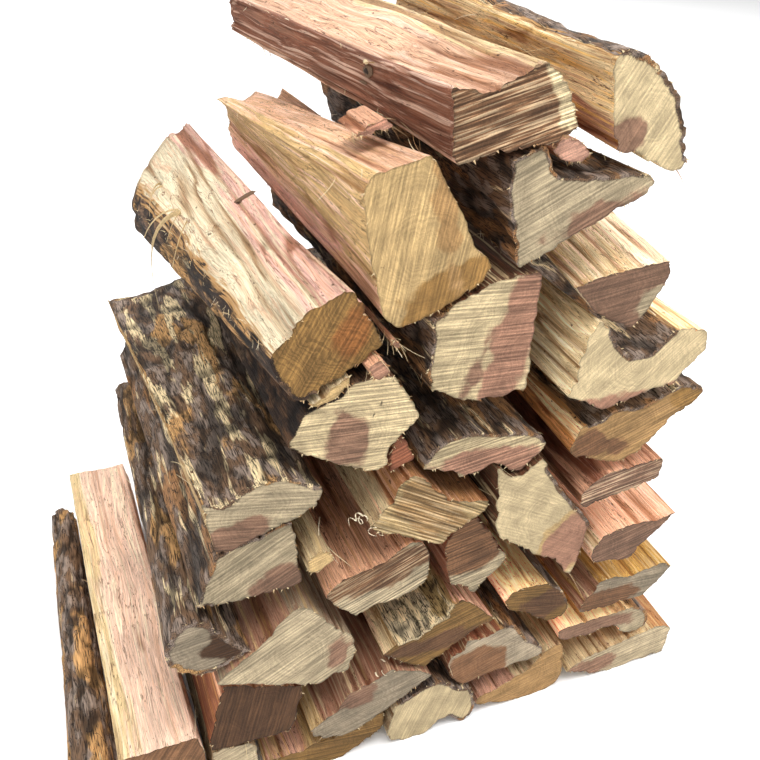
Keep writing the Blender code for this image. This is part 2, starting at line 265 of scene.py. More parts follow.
def noise(places: np.ndarray, scale: Place, seed: int) -> np.ndarray:
    """Smooth noise from -1 to 1.

    Args:
        places: an array that ends in three coordinates, mm.
        scale: size of the pattern along each coordinate, mm.
        seed: picks the pattern.

    Returns:
        One value for each place.
    """
    p = places / np.asarray(scale)
    cell = np.floor(p).astype(np.int64)
    part = p - cell
    part = part * part * (3.0 - 2.0 * part)
    total = np.zeros(places.shape[:-1])
    for corner in product((0, 1), repeat=3):
        at = cell + np.asarray(corner)
        mixed = seed * SEED_PRIME
        for axis, prime in enumerate(PLACE_PRIMES):
            mixed = mixed ^ (at[..., axis] * prime)
        mixed = (mixed ^ (mixed >> 13)) * STIR_PRIME & STIR_MASK
        value = ((mixed ^ (mixed >> 16)) & VALUE_MASK) / VALUE_HALF - 1.0
        weight = np.prod(np.where(np.asarray(corner) == 1, part, 1.0 - part), axis=-1)
        total += value * weight
    return total


def smooth(values: np.ndarray, low: float, high: float) -> np.ndarray:
    """Values brought from low..high to 0..1 with eased ends."""
    t = np.clip((values - low) / (high - low), 0.0, 1.0)
    return t * t * (3.0 - 2.0 * t)


def front_frame(places: np.ndarray) -> np.ndarray:
    """Places in metres as across, behind and drop readings in mm."""
    out = np.empty_like(places)
    out[..., 0] = places[..., 0] / MM + MIDDLE_ACROSS
    out[..., 1] = places[..., 1] / MM - FRONT_PLANE
    out[..., 2] = GROUND_DROP - places[..., 2] / MM
    return out


# Reading the solids

RING_GAP = 8 * MM  # rings of a solid stand further apart than this

def read_rings(node: bpy.types.Object) -> np.ndarray:
    """The outline rings of a solid, front to back, all starting on the same edge of the log.

    Args:
        node: the object of a packed log.

    Returns:
        Metres, as rings x points x 3, clockwise as seen from the front.
    """
    mesh = bmesh.new()
    mesh.from_mesh(node.data)
    bmesh.ops.remove_doubles(mesh, verts=mesh.verts, dist=MERGE)
    level = {}
    count = 0
    before = None
    for vert in sorted(mesh.verts, key=lambda v: v.co.y):
        if before is not None and vert.co.y - before.co.y > RING_GAP:
            count += 1
        level[vert] = count
        before = vert
    rings = []
    for here in range(count + 1):
        beside = {}
        for edge in mesh.edges:
            a, b = edge.verts
            if level[a] != here or level[b] != here:
                continue
            flat = [f for f in edge.link_faces if all(level[v] == here for v in f.verts)]
            if len(flat) < 2:
                beside.setdefault(a, []).append(b)
                beside.setdefault(b, []).append(a)
        walk = [min(beside, key=lambda v: (len(beside[v]), round(v.co.x, 5), round(v.co.z, 5)))]
        seen = set(walk)
        while step := [v for v in beside[walk[-1]] if v not in seen]:
            walk.append(step[0])
            seen.add(step[0])
        ring = np.array([v.co[:] for v in walk])
        low = ring[:, 2] < 0.01 * MM
        ring = ring[~(low & np.roll(low, 1) & np.roll(low, -1))]
        after = np.roll(ring, -1, axis=0)
        if np.sum(ring[:, 0] * after[:, 2] - after[:, 0] * ring[:, 2]) > 0:
            ring = ring[::-1]
        rings.append(ring)
    mesh.free()
    for i in range(1, len(rings)):
        turned = [np.roll(rings[i], k, axis=0) for k in range(len(rings[i]))]
        apart = [np.sum((ring - rings[i - 1])[:, ACROSS_DROP] ** 2) for ring in turned]
        rings[i] = turned[int(np.argmin(apart))]
    return np.array(rings)


def finer_rings(rings: np.ndarray, spacing: float, rows: int, rounds: int) -> np.ndarray:
    """The rings drawn with closer points and carried smoothly along the log.

    Args:
        rings: rings x points x 3, in metres.
        spacing: distance of the new points along the outline, metres.
        rows: stretches along the log.
        rounds: how many times the corners are rubbed round.

    Returns:
        Places in metres, as rows + 1 x columns x 3.
    """
    front = rings[0]
    lengths = np.linalg.norm(np.roll(front, -1, axis=0) - front, axis=1)
    key, part = [], []
    for k, length in enumerate(lengths):
        steps = max(1, math.ceil(length / spacing))
        for i in range(steps):
            key.append(k)
            part.append(i / steps)
    key = np.array(key)
    part = np.array(part)[None, :, None]
    dense = rings[:, key] * (1 - part) + rings[:, (key + 1) % len(front)] * part
    for _ in range(rounds):
        dense = (np.roll(dense, 1, axis=1) + 2 * dense + np.roll(dense, -1, axis=1)) / 4
    padded = np.concatenate([[2 * dense[0] - dense[1]], dense, [2 * dense[-1] - dense[-2]]])
    table = []
    for row in range(rows + 1):
        t = row / rows * (len(dense) - 1)
        j = min(int(t), len(dense) - 2)
        f = t - j
        a, b, c, d = padded[j : j + 4]
        curve = 2 * b + (c - a) * f + (2 * a - 5 * b + 4 * c - d) * f**2 + (3 * b - a - 3 * c + d) * f**3
        table.append(curve / 2)
    return np.array(table)


def outward(table: np.ndarray) -> np.ndarray:
    """Unit steps out of the log, square to its length, for each place of a table of rings."""
    ahead = np.roll(table, -2, axis=1) - np.roll(table, 2, axis=1)
    normal = np.zeros_like(table)
    normal[..., 0] = -ahead[..., 2]
    normal[..., 2] = ahead[..., 0]
    return normal / np.maximum(np.linalg.norm(normal, axis=-1, keepdims=True), TINY)


# Putting a mesh in the scene


def link(name: str, mesh: Mesh) -> bpy.types.Object:
    """Turn a mesh into an object of the scene and free the mesh."""
    data = bpy.data.meshes.new(name)
    mesh.to_mesh(data)
    mesh.free()
    item = bpy.data.objects.new(name, data)
    bpy.context.scene.collection.objects.link(item)
    return item


# Materials

Socket = bpy.types.NodeSocket
Feed = Socket | Tone | float | tuple[float, ...]
MIX_FACTOR, MIX_FIRST, MIX_SECOND, MIX_RESULT = 0, 6, 7, 2  # sockets of a Mix node set to colours
SPECULAR = 0.25
SPLIT_ROUGH = 0.8  # roughness of split wood, bark and fibres
SAWN_ROUGH = 0.85
SPLIT_BUMP = 0.0012  # metres
SAWN_BUMP = 0.0007
FIBRE_BUMP = 0.0001
BARK_SWAY = 16.0  # how far lines along the grain wander, mm
SPLIT_SWAY = 18.0
SIDE_ZONE_SWAY = 40.0  # how far the edges of zones wander, mm
END_ZONE_SWAY = 26.0
WARM_SHADOW = (0.5, 0.36, 0.26, 1.0)  # what torn hollows are darkened by
FULL_LIGHT = (1.06, 1.04, 1.0, 1.0)
RINGS_PER_MM = 0.42


class Graph:
    """A material's nodes, with short ways to add them."""

    def __init__(self, name: str) -> None:
        """Start a material of this name."""
        self.material = bpy.data.materials.new(name)
        self.material.use_nodes = True
        self.nodes = self.material.node_tree.nodes
        self.links = self.material.node_tree.links
        self.shader = self.nodes["Principled BSDF"]

    def feed(self, socket: Socket, value: Feed) -> None:
        """Link a socket to another, or set its value."""
        if isinstance(value, Socket):
            self.links.new(value, socket)
        elif isinstance(value, Tone):
            socket.default_value = value.linear()[: len(socket.default_value)]
        else:
            socket.default_value = value

    def stored(self, name: str, output: str = "Fac") -> Socket:
        """A number stored on the surface, or a place with the output Vector."""
        node = self.nodes.new("ShaderNodeAttribute")
        node.attribute_name = name
        return node.outputs[output]

    def calculation(self, kind: str, operation: str, values: tuple[Feed, ...]) -> bpy.types.Node:
        """A node that works something out from its inputs."""
        node = self.nodes.new(kind)
        node.operation = operation
        for socket, value in zip(node.inputs, values):
            self.feed(socket, value)
        return node

    def math(self, operation: str, *values: Feed) -> Socket:
        """A sum on numbers."""
        return self.calculation("ShaderNodeMath", operation, values).outputs["Value"]

    def vector(self, operation: str, *values: Feed) -> Socket:
        """A sum on vectors."""
        node = self.calculation("ShaderNodeVectorMath", operation, values)
        return node.outputs["Value" if operation in ("DOT_PRODUCT", "LENGTH") else "Vector"]

    def noise(self, place: Feed, pattern: Pattern, output: str = "Fac") -> Socket:
        """Stretched noise from 0 to 1."""
        *scale, detail = pattern.value
        node = self.nodes.new("ShaderNodeTexNoise")
        self.feed(node.inputs["Vector"], self.vector("MULTIPLY", place, tuple(scale)))
        node.inputs["Scale"].default_value = 1.0
        node.inputs["Detail"].default_value = detail
        return node.outputs[output]

    def noises(self, place: Feed, *patterns: Pattern) -> list[Socket]:
        """Several noises over the same places."""
        return [self.noise(place, pattern) for pattern in patterns]

    def ramp(self, value: Feed, low: float, high: float, start: float = 0.0, end: float = 1.0) -> Socket:
        """A value eased from low..high to start..end."""
        node = self.nodes.new("ShaderNodeMapRange")
        node.interpolation_type = "SMOOTHSTEP"
        for socket, number in zip(node.inputs, (value, low, high, start, end)):
            self.feed(socket, number)
        return node.outputs["Result"]

    def mix(self, factor: Feed, first: Feed, second: Feed, blend: str = "MIX") -> Socket:
        """Two colours mixed."""
        node = self.nodes.new("ShaderNodeMix")
        node.data_type = "RGBA"
        node.blend_type = blend
        self.feed(node.inputs[MIX_FACTOR], factor)
        self.feed(node.inputs[MIX_FIRST], first)
        self.feed(node.inputs[MIX_SECOND], second)
        return node.outputs[MIX_RESULT]

    def scaled(self, colour: Feed, factor: Feed) -> Socket:
        """A colour times a number."""
        node = self.calculation("ShaderNodeVectorMath", "SCALE", (colour,))
        self.feed(node.inputs["Scale"], factor)
        return node.outputs["Vector"]

    def laid(
        self, colour: Feed, tone: Feed, pattern: Feed, low: float, high: float, most: float = 1.0
    ) -> Socket:
        """A tone laid over a colour, not at all where a pattern is low and by most where it is high."""
        return self.mix(self.ramp(pattern, low, high, 0.0, most), colour, tone)

    def shaded(
        self, colour: Feed, pattern: Feed, low: float, high: float, dark: float, light: float
    ) -> Socket:
        """A colour times dark where a pattern is low and times light where it is high."""
        return self.scaled(colour, self.ramp(pattern, low, high, dark, light))

    def frayed(self, value: Feed, pattern: Feed, reach: float) -> Socket:
        """A number moved up and down by noise."""
        return self.math("ADD", value, self.math("MULTIPLY", self.math("SUBTRACT", pattern, 0.5), reach))

    def heaped(self, first: Socket, *parts: tuple[Feed, Feed]) -> Socket:
        """A height with others added, each times its weight."""
        for part, weight in parts:
            first = self.math("ADD", first, self.math("MULTIPLY", part, weight))
        return first

    def finish(self, colour: Feed, height: Feed, depth: float, rough: Feed) -> bpy.types.Material:
        """Link the finish to the shader.

        Args:
            colour: the base colour.
            height: the height of the surface, 0 to 1.
            depth: what a height of one is, in metres.
            rough: the roughness.

        Returns:
            The material.
        """
        bump = self.nodes.new("ShaderNodeBump")
        bump.inputs["Distance"].default_value = depth
        self.feed(bump.inputs["Height"], height)
        self.links.new(bump.outputs["Normal"], self.shader.inputs["Normal"])
        self.feed(self.shader.inputs["Base Color"], colour)
        self.feed(self.shader.inputs["Roughness"], rough)
        self.shader.inputs["Specular IOR Level"].default_value = SPECULAR
        return self.material


def zoned(graph: Graph, tone: Tone, zones: tuple[Zone, ...], kind: str, wander: Feed, sway: float) -> Feed:
    """A tone with the zones laid over it.

    Args:
        graph: the material's nodes.
        tone: the tone outside the zones.
        zones: the patches.
        kind: what their depths are stored as, with a number added.
        wander: noise that moves their edges.
        sway: how far it moves them, mm.

    Returns:
        The colour.
    """
    colour: Feed = tone
    for i, zone in enumerate(zones):
        depth = graph.frayed(graph.stored(f"{kind}_{i}"), wander, sway)
        colour = graph.laid(colour, zone.tone, depth, -zone.soft, zone.soft)
    return colour


def wavy(graph: Graph, place: Feed, reach: float) -> Socket:
    """Places shifted sideways by slow waves, so that lines along the grain wander."""
    shift = graph.vector("SUBTRACT", graph.noise(place, Pattern.WAVE, "Color"), (0.5, 0.5, 0.5))
    return graph.vector("ADD", place, graph.vector("MULTIPLY", shift, (reach, 0.0, reach)))


def thin_lines(graph: Graph, pattern: Feed, width: float) -> Socket:
    """Thin lines, 1 on a line and 0 beside it, where a noise crosses its middle value."""
    apart = graph.math("ABSOLUTE", graph.math("SUBTRACT", pattern, 0.5))
    return graph.ramp(apart, width, 0.0)


def bark_layer(graph: Graph, bark: Bark) -> tuple[Socket, Socket]:
    """Colour and height of bark.

    Args:
        graph: the material's nodes.
        bark: the finish.

    Returns:
        The colour and the height, 0 to 1.
    """
    grain = wavy(graph, graph.stored("grain", "Vector"), BARK_SWAY)
    patch, broad, plates, fibres, grit = graph.noises(
        grain, Pattern.BARK_PATCH, Pattern.BARK_BROAD, Pattern.BARK_PLATE,
        Pattern.BARK_FIBRE, Pattern.BARK_GRIT,
    )
    bare = 0.66 - 0.1 * bark.pale
    colour = graph.laid(bark.body, bark.plate, plates, 0.42, 0.60)
    colour = graph.laid(colour, bark.flake, patch, 0.53, 0.58, 0.9)
    colour = graph.laid(colour, Tone.CREAM, broad, bare, bare + 0.06, 0.9)
    colour = graph.mix(thin_lines(graph, plates, 0.014), colour, Tone.BARK_DARK)
    colour = graph.laid(colour, Tone.BARK_DARK, fibres, 0.46, 0.38, 0.75)
    colour = graph.laid(colour, Tone.GREYED, grit, 0.66, 0.8, 0.3)
    colour = graph.shaded(colour, fibres, 0.3, 0.7, 0.6, 1.45)
    # Painted shade in the fissures between the plates and painted light on the plates, from the stored relief
    colour = graph.shaded(colour, graph.stored("relief"), 0.0, 0.7, 0.32, 1.15)
    return colour, graph.heaped(graph.math("MULTIPLY", plates, 1.4), (fibres, 0.9), (grit, 0.3))


def side_material(name: str, side: SplitSide, bark: Bark | None) -> bpy.types.Material:
    """The finish of a log's split and barked sides.

    Args:
        name: the material's name.
        side: the split sides' finish.
        bark: the bark's, if there is any.

    Returns:
        The material.
    """
    graph = Graph(name)
    straight = graph.stored("grain", "Vector")
    grain = wavy(graph, straight, SPLIT_SWAY)
    broad, streak, line, fibre, check = graph.noises(
        grain, Pattern.BROAD, Pattern.STREAK, Pattern.LINE, Pattern.FIBRE, Pattern.CHECK
    )
    hair, fleck, stain = graph.noises(straight, Pattern.HAIR, Pattern.FLECK, Pattern.STAIN)
    colour = zoned(graph, side.tone, side.zones, "side", broad, SIDE_ZONE_SWAY)
    colour = graph.laid(colour, side.streak, streak, 0.5, 0.66, 0.75)
    colour = graph.laid(colour, side.shadow, streak, 0.45, 0.36, 0.5)
    colour = graph.mix(graph.math("MULTIPLY", thin_lines(graph, line, 0.022), 0.55), colour, side.shadow)
    ragged = graph.ramp(fibre, 0.36, 0.6, 0.25, 0.95)
    torn_line = graph.math("MULTIPLY", thin_lines(graph, streak, 0.007), ragged)
    colour = graph.mix(torn_line, colour, Tone.UMBER)
    checks = graph.math("MULTIPLY", thin_lines(graph, check, 0.010), graph.ramp(stain, 0.40, 0.54, 0.35, 1.0))
    colour = graph.mix(checks, colour, graph.scaled(side.shadow, 0.45))
    colour = graph.laid(colour, Tone.UMBER, fleck, 0.70, 0.735, 0.8)
    colour = graph.shaded(colour, stain, 0.36, 0.6, 0.84, 1.04)
    colour = graph.shaded(colour, fibre, 0.36, 0.64, 0.78, 1.12)
    colour = graph.shaded(colour, hair, 0.35, 0.65, 0.84, 1.1)
    deep = graph.mix(graph.ramp(graph.stored("relief"), 0.05, 0.65), WARM_SHADOW, FULL_LIGHT)
    colour = graph.mix(1.0, colour, deep, "MULTIPLY")
    # Painted light and shade: the sides' colour scaled up where they lie in the shade of other logs and down
    # where they get much light
    if side.light != 1.0:
        colour = graph.scaled(colour, side.light)
    cracks = graph.math("ADD", torn_line, checks)
    height = graph.heaped(graph.math("MULTIPLY", line, 1.3), (fibre, 0.7), (hair, 0.25), (cracks, -0.5))
    if bark:
        skin, lumps = bark_layer(graph, bark)
        edge = graph.frayed(graph.stored("bark"), line, 18.0)
        colour = graph.laid(colour, Tone.BARK_OCHRE, edge, -4.5, -1.0)
        cover = graph.ramp(edge, -0.5, 0.5)
        colour = graph.mix(cover, colour, skin)
        height = graph.heaped(height, (cover, lumps))
    return graph.finish(colour, height, SPLIT_BUMP, SPLIT_ROUGH)


def growth_rings(graph: Graph, grain: Feed, pith: tuple[float, float], blotch: Feed) -> Socket:
    """Noise in rings round the pith.

    Args:
        graph: the material's nodes.
        grain: places on the end, mm.
        pith: across and drop readings of the rings' middle, mm.
        blotch: noise that bends them.

    Returns:
        A value from 0 to 1.
    """
    away = graph.vector("SUBTRACT", grain, (pith[0], 0.0, pith[1]))
    flat = graph.vector("LENGTH", graph.vector("MULTIPLY", away, (1.0, 0.0, 1.0)))
    ring = graph.nodes.new("ShaderNodeTexNoise")
    ring.noise_dimensions = "1D"
    graph.feed(ring.inputs["W"], graph.math("MULTIPLY", graph.heaped(flat, (blotch, 30.0)), RINGS_PER_MM))
    ring.inputs["Scale"].default_value = 1.0
    ring.inputs["Detail"].default_value = 2.0
    return ring.outputs["Fac"]


def end_material(
    name: str, end: SawnEnd, bark: Bark | None, middle: tuple[float, float]
) -> bpy.types.Material:
    """The finish of a log's sawn ends.

    Args:
        name: the material's name.
        end: the finish.
        bark: the bark, if there is any.
        middle: across and drop readings of the end's middle, mm.

    Returns:
        The material.
    """
    graph = Graph(name)
    grain = graph.stored("grain", "Vector")
    angle = math.radians(end.saw)
    along = graph.vector("DOT_PRODUCT", grain, (math.cos(angle), 0.0, -math.sin(angle)))
    across = graph.vector("DOT_PRODUCT", grain, (math.sin(angle), 0.0, math.cos(angle)))
    stroke = graph.nodes.new("ShaderNodeCombineXYZ")
    graph.feed(stroke.inputs["X"], along)
    graph.feed(stroke.inputs["Y"], across)
    lines, scratches, bands = graph.noises(
        stroke.outputs["Vector"], Pattern.SAW_LINE, Pattern.SCRATCH, Pattern.BAND
    )
    fuzz, blotch, pits = graph.noises(grain, Pattern.FUZZ, Pattern.BLOTCH, Pattern.PIT)
    colour = zoned(graph, end.tone, end.zones, "end", blotch, END_ZONE_SWAY)
    years = growth_rings(graph, grain, end.pith or middle, blotch)
    colour = graph.shaded(colour, years, 0.36, 0.62, 1.0 - 0.42 * end.ring, 1.0 + 0.1 * end.ring)
    lift = end.stripe
    if lift > 1.0:
        colour = graph.laid(colour, Tone.GREYED, lines, 0.5, 0.58, 0.45)
    colour = graph.shaded(colour, lines, 0.42, 0.58, 1.0 - lift * 0.36, 1.0 + lift * 0.26)
    colour = graph.shaded(colour, bands, 0.38, 0.62, 1.0 - lift * 0.2, 1.0 + lift * 0.15)
    turns = graph.math("MULTIPLY", across, math.tau / end.pitch)
    teeth = graph.math("SINE", graph.heaped(turns, (bands, 9.0)))
    colour = graph.shaded(colour, teeth, -0.6, 0.8, 1.0 - lift * 0.22, 1.0 + lift * 0.12)
    colour = graph.shaded(colour, scratches, 0.35, 0.65, 0.9, 1.06)
    colour = graph.shaded(colour, fuzz, 0.32, 0.68, 0.86, 1.1)
    colour = graph.shaded(colour, blotch, 0.36, 0.64, 0.82, 1.1)
    colour = graph.laid(colour, Tone.UMBER, pits, 0.73, 0.78, 0.7)
    # Painted light and shade: the end's colour scaled by its light factor, partly its own tone and partly how
    # much light it gets
    if end.light != 1.0:
        colour = graph.scaled(colour, end.light)
    colour = graph.shaded(colour, graph.frayed(graph.stored("rim"), fuzz, 2.0), 0.0, 1.8, 0.6, 1.0)
    if end.crack:
        split = graph.frayed(graph.stored("crack"), fuzz, 2.0)
        colour = graph.laid(colour, Tone.BARK_DARK, split, 1.3, 0.5, 0.85)
    height = graph.heaped(graph.math("MULTIPLY", lines, lift), (fuzz, 0.6), (teeth, 0.2 * lift))
    if bark:
        skin, lumps = bark_layer(graph, bark)
        cover = graph.ramp(graph.frayed(graph.stored("bark"), fuzz, 5.0), -0.4, 0.4)
        colour = graph.mix(cover, colour, graph.scaled(skin, 0.8))
        height = graph.heaped(height, (cover, lumps))
    return graph.finish(colour, height, SAWN_BUMP, SAWN_ROUGH)


# Loose fibres

ALONG = Vector((0.0, 1.0, 0.0))
COIL_STEPS = 9  # points on one turn of a shaving
SPLINTER_STEPS = 12
SPLINTER_SIDE = Vector((0.6, -0.8, 0.0))  # the way a splinter's flat face turns
SPLINTER_TAPER = 0.45
SPLINTER_SHADE = 0.5
SHAVING_WIDTH = 1.6 * MM
SHAVING_SHADE = 0.95
FIBRE_THICK = 0.15 * MM
LUMP = 0.35  # how uneven a crumb is
LARGE = 3 * MM  # a scrap longer than this gets finer faces
GROUND_CLEAR = 12 * MM  # nothing grows lower than this
CORNER_TURN = -0.5  # how sharply a corner turns, as the sine of its angle
CORNER_SPAN = 3  # columns to each side that a turn is measured over
EDGE_FROM, EDGE_TO = -2.0, 6.0  # depths inside the bark that count as its edge, mm
STRAND_SWAY = 0.25  # how far a strand turns off the grain
STRAND_LIFT = (0.02, 0.35)  # how steeply it leaves the skin
STRAND_CURL = (-0.06, 0.16)  # how much each step bends it away
STRAND_STOP = 4  # rows at the far end where no strand starts
STRAND_DROOP = Vector((0.0, 0.0, -0.08))
STRAND_LENGTHS = (0.25, 1.0)  # parts of the longest
STRAND_WIDTHS = (0.35, 1.0)  # parts of the widest
BRISTLE_LEAN = (0.3, 1.0)
BRISTLE_SWAY = 0.9
BRISTLE_FORWARD = (-0.5, 0.3)
BRISTLE_DIP = -0.3
BRISTLE_DROOP = Vector((0.0, 0.0, -0.2))
BRISTLE_LENGTHS = (1.0, 3.2)  # mm
BRISTLE_WIDTHS = (0.5, 1.6)  # mm
BRISTLE_STEPS = 3
BRISTLE_SHADE = 0.6
CRUMB_SIZES = ((0.6, 2.4), (0.5, 1.4), (0.3, 0.9))  # half sizes along, across and out, mm
CRUMB_SHADES = (0.7, 2.0)
ROOTED = 0.3 * MM  # how deep a strand's root lies in the skin
BRISTLE_ROOTED = 0.5 * MM
SPLINTER_OUT = 0.5  # how far a splinter's root stands out of the skin, mm
SHAVING_OUT = 0.8

def ribbon(
    mesh: Mesh, path: list[Vector], side: Vector, width: float, shade: float, taper: float = 0.85
) -> None:
    """Add a flat fibre that tapers along a path.

    Args:
        mesh: the mesh to add it to.
        path: places along it, metres.
        side: unit step across it.
        width: its width at the root, metres.
        shade: 0, dark, to 1, light.
        taper: the part of its width that it loses on the way.
    """
    steps = len(path) - 1
    layer = mesh.verts.layers.float["shade"]
    for vert in bmesh.ops.create_grid(mesh, x_segments=1, y_segments=steps, size=1.0)["verts"]:
        row = round((vert.co.y + 1) / 2 * steps)
        half = width / 2 * (1.0 - taper * row / steps)
        vert.co = path[row] + side * vert.co.x * half
        vert[layer] = shade


def curled(start: Vector, heading: Vector, pull: Vector, length: float, steps: int = 6) -> list[Vector]:
    """A path that leaves along a heading and bends the way it is pulled.

    Args:
        start: where it starts, metres.
        heading: the direction it leaves in.
        pull: how far each step turns it.
        length: its length, metres.
        steps: how many steps it takes.

    Returns:
        The places along it.
    """
    path = [start]
    way = heading.normalized()
    for _ in range(steps):
        path.append(path[-1] + way * (length / steps))
        way = (way + pull).normalized()
    return path


def coiled(start: Vector, axis: Vector, radius: float, length: float, turns: float) -> list[Vector]:
    """A path that winds round an axis.

    Args:
        start: where it starts, metres.
        axis: the direction it winds along.
        radius: of the coil, metres.
        length: along the axis, metres.
        turns: how often it goes round.

    Returns:
        The places along it.
    """
    axis = axis.normalized()
    first = axis.orthogonal().normalized()
    second = axis.cross(first)
    steps = max(6, round(turns * COIL_STEPS))
    path = []
    for i in range(steps + 1):
        t = i / steps
        angle = math.tau * turns * t
        here = (math.cos(angle) - 1) * first + math.sin(angle) * second
        path.append(start + axis * length * t + here * radius)
    return path


def fibre_material(name: str, tone: Tone) -> bpy.types.Material:
    """The finish of loose fibres: from dark bark at a shade of -2, over brown and rust, to pale at 1."""
    graph = Graph(name)
    shade = graph.stored("shade")
    speck = graph.noise(graph.nodes.new("ShaderNodeTexCoord").outputs["Object"], Pattern.SPECK)
    colour = graph.laid(Tone.BARK_RUST, tone, shade, 0.0, 0.5)
    colour = graph.laid(colour, Tone.PALE, shade, 0.6, 1.0)
    colour = graph.laid(colour, Tone.BARK_BROWN, shade, -0.4, -0.6)
    colour = graph.laid(colour, Tone.BARK_DARK, shade, -1.4, -1.6)
    colour = graph.shaded(colour, speck, 0.3, 0.7, 0.75, 1.1)
    return graph.finish(colour, speck, FIBRE_BUMP, SPLIT_ROUGH)


@dataclass(frozen=True)
class Scrap:
    """A crumb, flake or knot stuck to a log's skin, in mm."""

    across: float
    drop: float
    behind: float
    long: float
    wide: float
    high: float
    shade: float = -1.0


@dataclass(frozen=True)
class Splinter:
    """A long splinter that hangs from a log's skin, in mm."""

    across: float
    drop: float
    behind: float
    heading: Place
    pull: Place
    length: float
    width: float


@dataclass(frozen=True)
class Shaving:
    """A curled shaving caught on a log, in mm."""

    across: float
    drop: float
    behind: float
    axis: Place
    radius: float
    length: float
    turns: float


@dataclass(frozen=True)
class Strand:
    """Fibres that lie along a log: the longest and the widest, in mm."""

    longest: float
    widest: float


AT_BARK = Strand(13.0, 0.9)
AT_CORNER = Strand(34.0, 1.3)


